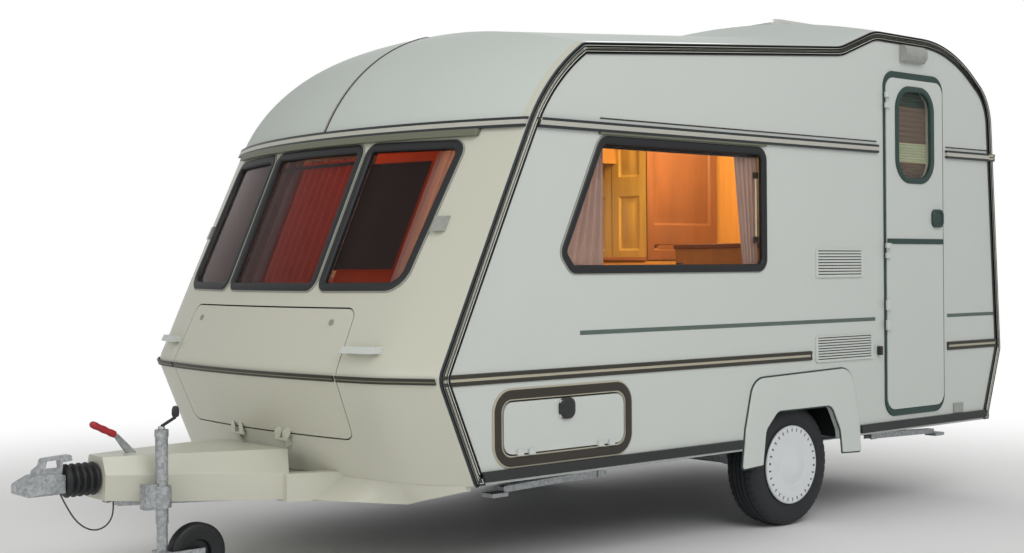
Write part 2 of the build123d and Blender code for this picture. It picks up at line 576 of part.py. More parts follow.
def skirt_and_fairing():
    foot_r = bow_radius(1945)
    outline_y = (1030, 780, 540, 310)
    lip_x = (1956, 2012, 2182, 2285)
    back = 1900

    def wedge(shrink):
        top = [(BOW_AXIS_X + sqrt(foot_r ** 2 - y ** 2) - shrink, y - shrink) for y in outline_y]
        low = [(x - shrink, y - shrink) for x, y in zip(lip_x, outline_y)]
        faces = []
        for points, z in ((top, BODY_FOOT - 0.3), (low, SKIRT_LIP_Z)):
            z -= shrink if z > SKIRT_LIP_Z else 0
            loop = [(back, -points[0][1], 0)] + [(x, -y, 0) for x, y in points]
            loop += [(x, y, 0) for x, y in reversed(points)] + [(back, points[0][1], 0)]
            faces.append(Pos(0, 0, z) * loop_face(loop, Plane.XY))
        return loft(faces, ruled=True)

    skirt = wedge(0) - wedge(SKIRT_SHEET)
    skirt -= block(back - 1, back + 30, -HALF_WIDTH, HALF_WIDTH, 0, ABOVE)
    rise = [(outline_y[1], 0, 0), (HALF_WIDTH, 0, 0), (HALF_WIDTH, 372, 0)]
    rise = [(outline_y[1], SKIRT_LIP_Z, 0)] + rise[1:]
    skirt -= front_prism(rise, 0, FAR_FRONT) + mirror(front_prism(rise, 0, FAR_FRONT), about=Plane.XZ)
    passage = drawbar_member(3, 0, BODY_FOOT + 5)
    nodes["front_skirt"] = skirt - passage - mirror(passage, about=Plane.XZ)
    # x, half width at the top, at the shoulder and at the foot, then top, shoulder and foot heights
    sections = [(2950, 62, 84, 80, 495, 428, 331), (2690, 150, 194, 190, 495, 420, 314),
                (2310, 296, 358, 354, 482, 400, 300)]

    def cover(shrink):
        faces = []
        for x, top, shoulder, foot, z_top, z_mid, z_foot in sections:
            z_foot -= 100 if shrink else 0
            half = [(foot, z_foot), (shoulder, z_mid), (top, z_top)]
            loop = [(-y + shrink, z, 0) for y, z in reversed(half)] + [(y - shrink, z, 0) for y, z in half]
            loop = [(y, z - (shrink if z == z_top else 0), 0) for y, z, _ in loop]
            faces.append(Pos(x + (20 if shrink and x > 2900 else 0), 0, 0) * loop_face(loop, Plane.YZ))
        return loft(faces[:2], ruled=True) + loft(faces[1:], ruled=True)

    shell = cover(0) - cover(FAIRING_SHEET)
    tail_x = (2308, 2090)
    tail = block(tail_x[1], tail_x[0], -280, 280, 455, 461) - hull(-0.5, foot=0)
    shell += tail + block(tail_x[0] - 6, tail_x[0] + 6, -280, 280, 455, 478)
    slot = block(2745, 2860, -14, 14, 400, 600)
    nodes["drawbar_fairing"] = shell - slot - clamp_arm(3)


def coupling():
    rings = 5
    x0, x1 = COUPLING_SHAFT_X[0] + 26, 3084
    pitch = (x1 - x0) / rings
    valley, crest, inner = 52, 68, 24.3
    outline = [(x0, inner, 0), (x1, inner, 0)]
    for index in reversed(range(rings)):
        outline += [(x0 + pitch * (index + 1) - 1, valley, 0), (x0 + pitch * (index + 0.5), crest, 6),
                    (x0 + pitch * index + 1, valley, 0)]
    profile = [(x, COUPLING_Z + r, corner) for x, r, corner in outline]
    nodes["coupling_bellows"] = revolve(loop_face(profile, Plane.XZ), Axis((0, 0, COUPLING_Z), (1, 0, 0)), 360)
    back, tip, low, high = 3086, COUPLING_TIP_X, COUPLING_Z - 46, COUPLING_Z + 34
    body = side_prism([(back, low + 4, 0), (BALL_X - 50, low, 12), (BALL_X + 46, low, 12), (tip, COUPLING_Z - 26, 14),
                       (tip, COUPLING_Z + 2, 14), (BALL_X + 30, high, 26), (BALL_X - 60, high, 16),
                       (back, COUPLING_Z + 26, 0)], -38, 38)
    body &= rod((BALL_X - 170, 0, COUPLING_Z), (tip + 10, 0, COUPLING_Z), 52)
    body &= plan_prism([(back, -34, 0), (BALL_X - 20, -38, 10), (tip, -30, 28), (tip, 30, 28),
                        (BALL_X - 20, 38, 10), (back, 34, 0)], 0, ABOVE)
    body -= rod((back - 1, 0, COUPLING_Z), (back + 30, 0, COUPLING_Z), 24.3)
    body -= rod((BALL_X, 0, 0), (BALL_X, 0, COUPLING_Z + 4), BALL_SOCKET_R)
    body -= Pos(BALL_X, 0, COUPLING_Z + 4) * Sphere(BALL_SOCKET_R - 0.01)
    # x and z of the release handle's outline and of its finger gap
    loop = [(3050, 488, 4), (3089, 486, 4), (3092, 440, 4), (3205, 440, 4), (3200, 462, 4), (3176, 478, 8),
            (3168, 505, 12), (3056, 512, 10)]
    gap = [(3098, 464, 5), (3158, 464, 5), (3152, 494, 6), (3102, 496, 6)]
    nodes["coupling_head"] = body + side_prism(loop, -17, 17) - side_prism(gap, -18, 18)
    pivot, elbow, tip_point = (2796, 460.3), (2857, 565), (2972, 620)
    lever = rod((pivot[0], 0, pivot[1]), (elbow[0], 0, elbow[1]), 8) + Pos(elbow[0], 0, elbow[1]) * Sphere(8)
    grip_start = (elbow[0] + 14, 0, elbow[1] + 7)
    lever += rod((elbow[0], 0, elbow[1]), grip_start, 8)
    nodes["handbrake"] = lever + rod(grip_start, (tip_point[0], 0, tip_point[1]), 15)


def jockey():
    x, y, r = JOCKEY_X, JOCKEY_Y, JOCKEY_TUBE_R
    low, high = JOCKEY_TUBE_Z
    stem_r = r - 3 - RUNNING_GAP
    tube = rod((x, y, low), (x, y, high), r) - rod((x, y, low - 1), (x, y, high - 12), r - 3)
    clamp_z = (306, 388)
    clamp = rod((x, y, clamp_z[0]), (x, y, clamp_z[1]), r + 12)
    clamp += block(x + r, x + 74, y - 34, y + 14, clamp_z[0] - 4, clamp_z[1] + 10)
    clamp += clamp_arm(0) - drawbar_member(RUNNING_GAP, 0, ABOVE) - block(0, ABOVE, -HALF_WIDTH, 100, 0, ABOVE)
    nodes["jockey_clamp"] = clamp - rod((x, y, 0), (x, y, ABOVE), r + RUNNING_GAP)
    knob = Vector(x - 20, y + 72, high + 56)
    crank = rod((x, y, high), (x, y, high + 22), 11)
    crank += rod((x, y, high + 14), tuple(knob), 6) + rod(tuple(knob), (knob.X, knob.Y, knob.Z + 42), 14)
    nodes["jockey_tube"] = tube + crank
    nodes["jockey_stem"] = rod((x, y, FORK_Z[1] + 0.5), (x, y, high - 90), stem_r)
    wheel_x = x - JOCKEY_TRAIL
    half = JOCKEY_WHEEL_WIDTH / 2
    arm_low, arm_high = FORK_Z
    fork = block(x - stem_r + 3, x + stem_r, y - half - 13, y + half + 13, arm_low, arm_high)
    for side in (-1, 1):
        y0, y1 = sorted((y + side * (half + 6), y + side * (half + 13)))
        fork += block(wheel_x - 16, x + stem_r, y0, y1, arm_low, arm_high - 2)
    axle = rod((wheel_x, y - half - 6, JOCKEY_WHEEL_R), (wheel_x, y + half + 6, JOCKEY_WHEEL_R), 8)
    nodes["jockey_fork"] = fork + axle
    hub = Axis((wheel_x, 0, JOCKEY_WHEEL_R), (0, 1, 0))
    tread, rim, bore = JOCKEY_WHEEL_R, 62, 8 + STUB_CLEAR

    def turned(corners):
        profile = [(y + side, JOCKEY_WHEEL_R + radius, corner) for side, radius, corner in corners]
        return revolve(Pos(wheel_x, 0, 0) * loop_face(profile, Plane.YZ), hub, 360)

    tyre = turned([(-half + 6, rim, 0), (half - 6, rim, 0), (half, 92, 12), (half - 4, tread, 14),
                                   (4 - half, tread, 14), (-half, 92, 12)])
    nodes["jockey_wheel"] = tyre + turned([(-half, bore, 0), (half, bore, 0), (half, 20, 0), (8, 24, 0), (8, 48, 0),
                                    (half - 8, 54, 0), (half - 6, rim, 0), (6 - half, rim, 0), (8 - half, 54, 0),
                                    (-8, 48, 0), (-8, 24, 0), (-half, 20, 0)])


def steadies():
    pin_r, arm_half, cheek = 8, 18, 5
    for end, pivot_x, direction in (("front", STEADY_FRONT_X, 1), ("rear", STEADY_REAR_X, -1)):
        tip_x = pivot_x + direction * STEADY_LENGTH
        foot_x = sorted((tip_x - direction * 10, tip_x + direction * 72))
        beam = [(pivot_x - direction * 16, STEADY_PIVOT_Z - 16, 6), (tip_x, STEADY_PIVOT_Z - 30, 4),
                (tip_x, STEADY_PIVOT_Z - 6, 4), (pivot_x - direction * 16, STEADY_PIVOT_Z + 16, 6)]
        beam = beam if direction > 0 else beam[::-1]
        arm = side_prism(beam, STEADY_Y - arm_half, STEADY_Y + arm_half)
        hollow = block(*sorted((pivot_x + direction * 40, tip_x - direction * 20)), STEADY_Y - arm_half + 4,
                       STEADY_Y + arm_half - 4, 0, STEADY_PIVOT_Z + 8)
        arm -= hollow
        arm += block(*foot_x, STEADY_Y - 34, STEADY_Y + 34, STEADY_PIVOT_Z - 44, STEADY_PIVOT_Z - 28)
        arm -= rod((pivot_x, 0, STEADY_PIVOT_Z), (pivot_x, HALF_WIDTH, STEADY_PIVOT_Z), pin_r + STUB_CLEAR)
        for side in ("left", "right"):
            nodes[end + "_" + side + "_steady"] = arm if side == "left" else mirror(arm, about=Plane.XZ)
    brackets = []
    for pivot_x in (STEADY_FRONT_X, STEADY_REAR_X):
        out = arm_half + STEADY_SIDE_GAP
        cheeks = block(pivot_x - 24, pivot_x + 24, STEADY_Y - out - cheek, STEADY_Y + out + cheek,
                       STEADY_PIVOT_Z - 18, BODY_FOOT)
        cheeks -= block(pivot_x - 30, pivot_x + 30, STEADY_Y - out, STEADY_Y + out, 0, BODY_FOOT - 5)
        pin = rod((pivot_x, STEADY_Y - out - cheek, STEADY_PIVOT_Z), (pivot_x, STEADY_Y + out + cheek, STEADY_PIVOT_Z),
                  pin_r)
        brackets.append(cheeks + pin)
    nodes["steady_brackets"] = both_sides(group(*brackets))


def rooflight():
    rim = roof_hatch(0, 2400, HATCH_RIM_TOP) - roof_hatch(-HATCH_RIM, 0, ABOVE)
    flange = roof_hatch(HATCH_RIM, 0, ABOVE) - roof_hatch(0, 0, ABOVE)
    flange &= hull(-10, foot=0) - skin
    nodes["rooflight_frame"] = rim + flange
    low = roof_hatch(12, HATCH_RIM_TOP + RUNNING_GAP, HATCH_RIM_TOP + 16)
    high = loft([Pos(0, 0, HATCH_RIM_TOP + 16) * loop_face(hatch_outline(12), Plane.XY),
                 Pos(0, 0, HATCH_LID_TOP) * loop_face(hatch_outline(-45), Plane.XY)])
    hollow = roof_hatch(-HATCH_RIM, HATCH_RIM_TOP, HATCH_LID_TOP - 22)
    nodes["rooflight_lid"] = low + high - hollow


def small_parts():
    vents = []
    for x0, x1, z0, z1 in ((-492, -127, 1150, 1285), (-568, -122, 753, 875)):
        vent = side_prism([(x0, z0, 12), (x1, z0, 12), (x1, z1, 12), (x0, z1, 12)], HALF_WIDTH, HALF_WIDTH + 9)
        for index in range(VENT_SLATS):
            z = z0 + (index + 0.9) * (z1 - z0) / (VENT_SLATS + 0.8)
            vent -= block(x0 + 14, x1 - 14, HALF_WIDTH + 4, HALF_WIDTH + 12, z, z + 5)
        vents.append(vent)
    nodes["side_vents"] = group(*vents)
    lamp = block(-993, -812, HALF_WIDTH, HALF_WIDTH + 48, 2218, 2302)
    lamp &= rod((-1000, HALF_WIDTH, 2260), (-800, HALF_WIDTH, 2260), 48)
    stern_layer = skin_layer(34)
    lamps = stern_layer & (block(BEHIND, 0, 850, 985, 800, 1010) + block(BEHIND, 0, -985, -850, 800, 1010))
    nodes["tail_lamps"] = group(lamps)
    corner_layer = skin_layer(18)
    corners = corner_layer & (block(0, FAR_FRONT, 846, 894, 1350, 1409) + block(0, FAR_FRONT, -894, -846, 1350, 1409))
    marker = block(-1350, -1267, HALF_WIDTH, HALF_WIDTH + 9, 440, 488)
    nodes["marker_lamps"] = group(corners, both_sides(marker), lamp)
    bars, feet = skin_layer(34) - hull(-20, foot=0), skin_layer(20.01)
    handles = None
    for y0, y1 in ((655, 822), (-822, -655)):
        bar = (bars & block(0, FAR_FRONT, y0, y1, 886, 912)) + (feet & block(0, FAR_FRONT, y0, y0 + 16, 886, 912))
        bar += feet & block(0, FAR_FRONT, y1 - 16, y1, 886, 912)
        handles = bar if handles is None else handles + bar
    nodes["grab_handles"] = handles


def furniture():
    base = BODY_FOOT + FLOOR_THICK
    board, seat_y, seat_top = 15, 460, 845
    wall_y = INNER_Y
    x0, x1 = BENCH_X
    bench = block(x0, x1, seat_y, wall_y, base, seat_top)
    bench -= block(x0 + board, x1 - board, seat_y + board, HALF_WIDTH, base - 1, seat_top - board)
    nodes["seat_boxes"] = both_sides(bench)
    soft = 0.3
    cushion = block(x0 + 5, x1 - 5, seat_y + 5, wall_y - soft, seat_top + soft, seat_top + 115)
    back = block(x0 + 5, x1 - 5, wall_y - 130, wall_y - soft, seat_top + 115 + soft, 1165)
    nodes["seat_cushions"] = both_sides(group(cushion, back))
    near = block(-20, 1180, 720, wall_y, 1800, 2060) & lining
    far = mirror(block(-640, 1180, 720, wall_y, 1800, 2060) & lining, about=Plane.XZ)
    chest = block(GAS_BACK_X - 330, GAS_BACK_X, -230, 230, base, 985)
    clear = block(BOX_X[0] - 2, BOX_X[1] + 2, BOX_INNER_Y - 2, HALF_WIDTH, 0, BOX_TOP + 2)
    unit = block(-650, 225, 500, wall_y, base, 1290) - clear
    kitchen = mirror(block(-1150, 225, 480, wall_y, base, 1240) - clear, about=Plane.XZ)
    nodes["cabinets"] = group(unit, kitchen, chest, near, far)
    wall = block(WASHROOM_X, WASHROOM_X + 18, -wall_y, wall_y, base, ABOVE) & lining
    nodes["washroom_wall"] = wall - roof_hatch(2, 0, ABOVE)
    thick = (0.3, 18)
    bow_band = hull(WALL + thick[0], foot=0) - hull(WALL + thick[1], foot=0)
    drapes = []
    for y0, y1 in ((700, 850), (285, 440)):
        for a, b in ((y0, y1), (-y1, -y0)):
            drapes.append(bow_band & block(MID_BODY_X, FAR_FRONT, a, b, 1100, 1735))
    for a, b in ((240, 390), (1180, 1330)):
        side = block(a, b, wall_y - thick[1], wall_y - thick[0], 1170, 1760)
        drapes.append(both_sides(side))
    nodes["curtains"] = group(*drapes)


def arc_radii(points):
    """The largest bend each corner of a cord's route leaves room for."""
    radii = []
    for a, b, c in zip(points, points[1:], points[2:]):
        first, second = Vector(*b) - Vector(*a), Vector(*c) - Vector(*b)
        half_turn = radians(first.get_angle(second)) / 2
        radii.append(0.45 * min(first.length, second.length) / tan(half_turn))
    return radii


def cord(points, diameter):
    radii = arc_radii(points)
    print("bend radii", [round(radius) for radius in radii])
    path = FilletPolyline(*points, radius=radii)
    section = Plane(origin=points[0], z_dir=path % 0) * Circle(diameter / 2)
    tube = sweep(section, path=path)
    print("length", round(path.length), "volume", round(tube.volume / (pi * diameter ** 2 / 4 * path.length), 4))
    return tube


CABLE_D = 6
# Breakaway cable: from the drawbar's nose down in a slack loop and forward to its ring under the coupling
CABLE_ROUTE = [(2905, 50, 359), (2907, 62, 306), (2924, 78, 258), (2962, 84, 229), (3006, 80, 226),
               (3046, 64, 250), (3078, 42, 300), (3100, 14, 366.8)]


def loose_cables():
    nodes["breakaway_cable"] = cord(CABLE_ROUTE, CABLE_D)


body_shell()
skin_trims()
windows()
entrance_door()
side_locker()
gas_locker()
spats()
wheels()
chassis()
skirt_and_fairing()
coupling()
jockey()
steadies()
rooflight()
small_parts()
furniture()
loose_cables()

# The origin lies on the ground, midway along the whole caravan
boxes = [shape.bounding_box() for shape in nodes.values()]
middle_x = (min(box.min.X for box in boxes) + max(box.max.X for box in boxes)) / 2
print("axle at x", round(-middle_x, 3))
os.makedirs("parts", exist_ok=True)
for name, shape in nodes.items():
    export_step(Pos(-middle_x, 0, 0) * shape, "parts/" + name + ".step")
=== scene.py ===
import json
from math import cos, exp, log, pi, radians, sin, sqrt, tan
import bmesh
import bpy
from mathutils import Matrix, Vector
from mathutils.bvhtree import BVHTree


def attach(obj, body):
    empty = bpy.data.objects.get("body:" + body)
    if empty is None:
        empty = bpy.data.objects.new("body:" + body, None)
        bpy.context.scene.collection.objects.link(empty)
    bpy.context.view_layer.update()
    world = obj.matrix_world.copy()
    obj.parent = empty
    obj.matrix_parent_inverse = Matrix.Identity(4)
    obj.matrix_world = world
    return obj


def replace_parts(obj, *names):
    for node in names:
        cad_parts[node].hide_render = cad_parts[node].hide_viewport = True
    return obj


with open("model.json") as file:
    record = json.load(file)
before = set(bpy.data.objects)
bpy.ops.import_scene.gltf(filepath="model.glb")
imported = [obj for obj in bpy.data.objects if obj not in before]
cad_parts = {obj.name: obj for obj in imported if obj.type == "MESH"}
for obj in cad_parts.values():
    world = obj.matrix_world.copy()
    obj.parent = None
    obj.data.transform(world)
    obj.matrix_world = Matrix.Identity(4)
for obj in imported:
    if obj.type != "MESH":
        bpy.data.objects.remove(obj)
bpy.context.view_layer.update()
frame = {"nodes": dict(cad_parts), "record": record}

# Lengths in metres, +X forward, +Y nearside, +Z up. Lengths along the caravan are counted from the axle
AXLE_X = -0.76393
HALF_WIDTH = 1.06
WALL = 0.028
INNER_Y = HALF_WIDTH - WALL
SHELL = "shell"
SIDES = ((1, "left"), (-1, "right"))

# Camera of the photograph
CAMERA_PLACE = (5.542 + AXLE_X, 5.44, 1.209)
CAMERA_TURN = 0.841
CAMERA_PITCH = 0.002
CAMERA_ROLL = -0.007
CAMERA_LENS = 52.96
CAMERA_SHIFT = (-0.02344, -0.01221)

nodes = frame["nodes"]
BODY_OF = {node: body for body, members in frame["record"]["behaviour"]["bodies"].items() for node in members}


# Materials
def wired(tree, node, inputs):
    """A node with its inputs either linked or set."""
    for key, value in inputs:
        if hasattr(value, "is_linked"):
            tree.links.new(value, node.inputs[key])
        else:
            node.inputs[key].default_value = value
    return node


def value_node(tree, kind, settings=(), inputs=()):
    node = tree.nodes.new(kind)
    for key, value in settings:
        setattr(node, key, value)
    return wired(tree, node, inputs)


def shader(name):
    """A material with a Principled shader."""
    mat = bpy.data.materials.new(name)
    mat.use_nodes = True
    return mat, mat.node_tree, mat.node_tree.nodes["Principled BSDF"]


def math_node(tree, operation, *values):
    return value_node(tree, "ShaderNodeMath", [("operation", operation)], enumerate(values)).outputs[0]


def place(tree):
    return value_node(tree, "ShaderNodeTexCoord").outputs["Object"]


def height_of(tree):
    return value_node(tree, "ShaderNodeSeparateXYZ", [], [(0, place(tree))]).outputs[2]


def noise(tree, scale, detail=3.0, stretch=None, roughness=0.5):
    where = place(tree)
    if stretch:
        where = value_node(tree, "ShaderNodeMapping", [], [("Vector", where), ("Scale", stretch)]).outputs[0]
    inputs = [("Vector", where), ("Scale", scale), ("Detail", detail), ("Roughness", roughness)]
    return value_node(tree, "ShaderNodeTexNoise", [], inputs).outputs["Fac"]


def spread(tree, source, low, high):
    """A factor from 0 to 1 sent to a range of values."""
    inputs = [("Value", source), ("To Min", low), ("To Max", high)]
    return value_node(tree, "ShaderNodeMapRange", [], inputs).outputs[0]


def mixed(tree, factor, first, second):
    inputs = [(0, factor), (6, first), (7, second)]
    return value_node(tree, "ShaderNodeMix", [("data_type", "RGBA")], inputs).outputs[2]


def blended(tree, factor, first, second):
    """Two shaders blended into the material's surface."""
    blend = value_node(tree, "ShaderNodeMixShader", [], [(0, factor), (1, first), (2, second)])
    tree.links.new(blend.outputs[0], tree.nodes["Material Output"].inputs["Surface"])


def rgba(colour, gain=1.0):
    return (*[min(c * gain, 1.0) for c in colour], 1.0)


def toned(tree, factor, colour, low, high):
    """A colour that goes between two strengths."""
    return mixed(tree, factor, rgba(colour, low), rgba(colour, high))


def bumped(tree, height, strength, distance):
    inputs = [("Height", height), ("Strength", strength), ("Distance", distance)]
    return value_node(tree, "ShaderNodeBump", [], inputs).outputs[0]


def finish(name, colour, rough=0.4, rough_vary=0.08, metal=0.0, coat=0.0, vary=0.05, patch=3.0, grain=300.0,
           grain_depth=0.0002, grain_strength=0.15, stretch=None, specular=0.5):
    """A surface whose colour and gloss drift a little over patches, with a fine grain."""
    mat, tree, bsdf = shader(name)
    patches, fine = noise(tree, patch, 4.0), noise(tree, grain, 2.0, stretch)
    wired(tree, bsdf, [
        ("Base Color", toned(tree, patches, colour, 1 - vary, 1 + vary)),
        ("Roughness", spread(tree, fine, rough - rough_vary, rough + rough_vary)), ("Metallic", metal),
        ("Coat Weight", coat), ("Coat Roughness", 0.12), ("Specular IOR Level", specular),
        ("Normal", bumped(tree, fine, grain_strength, grain_depth))])
    return mat


ENAMEL = dict(vary=0.02, patch=1.3, grain=420.0, grain_strength=0.06)
# A grey that the enamel's colour is mixed towards in patches, more strongly towards the bottom: the grey,
# where the mixing stops, where it is strongest, and how strong it is there
LOW_GREY = (0.42, 0.41, 0.36)
GREYING_TOP, GREYING_FOOT, GREYING_STRENGTH = 0.75, 0.28, 0.16


def enamel(name, colour):
    """Stove enamel: smooth, faintly wavy, mixed towards grey in patches low down."""
    mat = finish(name, colour, rough=0.32, rough_vary=0.05, coat=0.15, **ENAMEL)
    tree = mat.node_tree
    bsdf = tree.nodes["Principled BSDF"]
    base = bsdf.inputs["Base Color"].links[0].from_socket
    inputs = [("Value", height_of(tree)), ("From Min", GREYING_FOOT), ("From Max", GREYING_TOP),
              ("To Min", GREYING_STRENGTH), ("To Max", 0.0)]
    low = value_node(tree, "ShaderNodeMapRange", [], inputs).outputs[0]
    greying = math_node(tree, "MULTIPLY", low, noise(tree, 6.0, 5.0))
    wired(tree, bsdf, [("Base Color", mixed(tree, greying, base, rgba(LOW_GREY)))])
    return mat


def glazing(name, tint):
    """Acrylic that lets most light through, faintly smeared."""
    mat, tree, bsdf = shader(name)
    smear = noise(tree, 9.0, 4.0)
    wired(tree, bsdf, [
        ("Roughness", spread(tree, smear, 0.015, 0.045)),
        ("Base Color", toned(tree, smear, tint, 0.96, 1.04)), ("Transmission Weight", 1.0), ("IOR", 1.12)])
    return mat


def galvanised(name):
    """Zinc with its spangle."""
    mat, tree, bsdf = shader(name)
    spangle = value_node(tree, "ShaderNodeTexVoronoi", [], [("Vector", place(tree)), ("Scale", 90.0)])
    tone = value_node(tree, "ShaderNodeSeparateXYZ", [], [(0, spangle.outputs["Color"])]).outputs[0]
    wired(tree, bsdf, [
        ("Base Color", mixed(tree, tone, (0.33, 0.35, 0.36, 1.0), (0.55, 0.57, 0.58, 1.0))),
        ("Roughness", spread(tree, tone, 0.38, 0.55)), ("Metallic", 0.85),
        ("Normal", bumped(tree, noise(tree, 140.0, 3.0), 0.2, 0.0003))])
    return mat


def wood(name, colour):
    """Veneer with its grain drawn out upwards."""
    mat, tree, bsdf = shader(name)
    bands, fibres = noise(tree, 26.0, 6.0, GRAIN_UP, 0.62), noise(tree, 240.0, 3.0, GRAIN_UP)
    tone = toned(tree, bands, colour, 0.62, 1.2)
    wired(tree, bsdf, [
        ("Base Color", mixed(tree, spread(tree, fibres, 0.0, 0.35), tone, rgba(colour, 0.45))),
        ("Roughness", spread(tree, fibres, 0.3, 0.45)), ("Normal", bumped(tree, fibres, 0.15, 0.0003))])
    return mat


THREAD = 150.0


def cloth(name, colour, glow=0.0):
    """Woven cloth, with a share of the light let through."""
    mat, tree, bsdf = shader(name)
    inputs = [("Vector", place(tree)), ("Scale", THREAD), ("Distortion", 0.6)]
    waves = [value_node(tree, "ShaderNodeTexWave", [("bands_direction", direction)], inputs).outputs["Fac"]
             for direction in ("X", "Z")]
    weave = math_node(tree, "MULTIPLY", *waves)
    tone = toned(tree, noise(tree, 14.0, 4.0), colour, 0.82, 1.15)
    wired(tree, bsdf, [
        ("Base Color", mixed(tree, spread(tree, weave, 0.0, 0.4), tone, rgba(colour, 0.8))),
        ("Roughness", 0.85), ("Sheen Weight", 0.3), ("Normal", bumped(tree, weave, 0.12, 0.0004))])
    if glow:
        clear = value_node(tree, "ShaderNodeBsdfTranslucent", [], [("Color", rgba(colour))])
        blended(tree, glow, bsdf.outputs[0], clear.outputs[0])
    return mat


def band_rail(name, metal_tone, insert_tone, centre_z, half_metal):
    """A level rail: metal along its middle and a dark insert above and below it."""
    mat, tree, bsdf = shader(name)
    off = math_node(tree, "ABSOLUTE", math_node(tree, "SUBTRACT", height_of(tree), centre_z))
    dark = math_node(tree, "GREATER_THAN", off, half_metal)
    fine = noise(tree, 300.0, 2.0, DRAWN)
    metal = toned(tree, fine, metal_tone, 0.85, 1.1)
    wired(tree, bsdf, [
        ("Base Color", mixed(tree, dark, metal, rgba(insert_tone))),
        ("Roughness", spread(tree, fine, 0.3, 0.42)), ("Metallic", spread(tree, dark, 0.55, 0.0))])
    return mat


CREAM = (0.62, 0.62, 0.52)
WHITE = (0.63, 0.665, 0.63)
SILVER = (0.62, 0.61, 0.54)
DARK = (0.02, 0.024, 0.026)
GREEN_BLACK = (0.022, 0.055, 0.047)
# Stretch of the grain on drawn metal and on veneer
DRAWN, GRAIN_UP = (0.05, 0.05, 1.0), (1.0, 1.0, 0.08)
# Heights of the level rails and stripes
BELT_Z, DRIP_Z, STRIPE_Z, LINE_Z = 0.787, 1.775, 0.944, 1.812
DRIP_HALF_METAL = 0.009

materials = {
    "enamel": enamel("enamel", WHITE),
    "moulding": enamel("moulding", CREAM),
    "roof": finish("roof_enamel", (0.62, 0.67, 0.63), rough=0.62, specular=0.2, **ENAMEL),
    "silver": finish("bright_rail", (0.78, 0.78, 0.68), rough=0.45, grain=260.0, stretch=DRAWN),
    "insert": finish("rail_insert", DARK, rough=0.45, vary=0.2),
    "rubber": finish("seal_rubber", (0.008, 0.009, 0.011), rough=0.5, vary=0.25, grain=500.0,
                     grain_strength=0.3),
    "door_seal": finish("door_seal", GREEN_BLACK, rough=0.5, vary=0.2),
    "black": finish("black_trim", (0.018, 0.02, 0.021), rough=0.38, vary=0.2, grain=600.0,
                    grain_strength=0.3),
    "grey_plastic": finish("grey_plastic", (0.3, 0.31, 0.27), vary=0.08),
    "white_plastic": finish("white_plastic", (0.64, 0.675, 0.64), rough=0.35, vary=0.03, coat=0.2),
    "steel": galvanised("galvanised"),
    "trim": finish("wheel_trim", (0.74, 0.77, 0.78), rough=0.35, coat=0.25, patch=9.0),
    "tyre": finish("tyre_rubber", (0.018, 0.02, 0.024), rough=0.72, vary=0.3, patch=20.0, grain=420.0,
                   grain_strength=0.5, grain_depth=0.0005),
    "front_glass": glazing("front_glazing", (0.6, 0.47, 0.46)),
    "side_glass": glazing("side_glazing", (0.88, 0.84, 0.8)),
    "rail": finish("rail_metal", (0.5, 0.47, 0.36), rough=0.36, metal=0.25, grain=260.0, stretch=DRAWN),
    "rail_dark": finish("rail_edge", (0.03, 0.027, 0.018), vary=0.25),
    "drip": band_rail("drip_rail", SILVER, DARK, DRIP_Z, DRIP_HALF_METAL),
    "hood": finish("window_hood", (0.15, 0.16, 0.11), rough=0.45, vary=0.1),
    "stripe": finish("side_stripe", (0.1, 0.14, 0.12), vary=0.15, patch=12.0),
    "locker_frame": finish("locker_seal", (0.03, 0.024, 0.017), rough=0.42, vary=0.25),
    "belt_front": finish("bow_band", (0.22, 0.22, 0.15), metal=0.2, vary=0.2, patch=8.0),
    # Painted shade: the dark sheets set in the slots of the side vents and of the wheel trims
    "vent_shadow": finish("vent_shadow", (0.06, 0.06, 0.035), rough=0.6, vary=0.3, patch=30.0),
    "well": finish("underbody_black", (0.012, 0.014, 0.016), rough=0.8, vary=0.3),
    "cable": finish("cable_sheath", (0.02, 0.035, 0.028), rough=0.45, vary=0.3, patch=40.0),
    "red_grip": finish("red_grip", (0.42, 0.02, 0.03), rough=0.42, vary=0.15, patch=30.0),
    "dome": finish("rooflight_dome", (0.6, 0.62, 0.56), rough=0.25, coat=0.4),
    "lens": finish("lamp_lens", (0.34, 0.35, 0.32), rough=0.3, vary=0.25, patch=60.0, coat=0.5),
    "red_lens": finish("red_lens", (0.45, 0.02, 0.015), rough=0.2, vary=0.15, patch=40.0, coat=0.6),
    "wood": wood("cabinet_veneer", (0.62, 0.31, 0.09)),
    "yellow_door": wood("wardrobe_front", (0.85, 0.6, 0.16)),
    "amber_door": wood("washroom_door", (0.3, 0.12, 0.06)),
    "upholstery": cloth("upholstery", (0.36, 0.14, 0.09)),
    "side_curtain": cloth("side_curtain", (0.52, 0.43, 0.42), glow=0.35),
    "red_curtain": cloth("red_curtain", (0.42, 0.07, 0.04), glow=0.2),
    "pale_curtain": cloth("pale_curtain", (0.85, 0.82, 0.76), glow=0.6),
    "amber_board": cloth("amber_shade", (0.5, 0.1, 0.03), glow=0.6),
    "blind": cloth("blackout_blind", (0.008, 0.009, 0.008)),
    # Painted shade: the dark cloth of the sheet over the far part of the middle front pane
    "mid_shade": cloth("mid_shade", (0.08, 0.03, 0.025)),
    "door_blind": cloth("door_blind", (0.13, 0.1, 0.075)),
    "blind_gap": cloth("blind_lining", (0.45, 0.62, 0.5), glow=0.3),
}

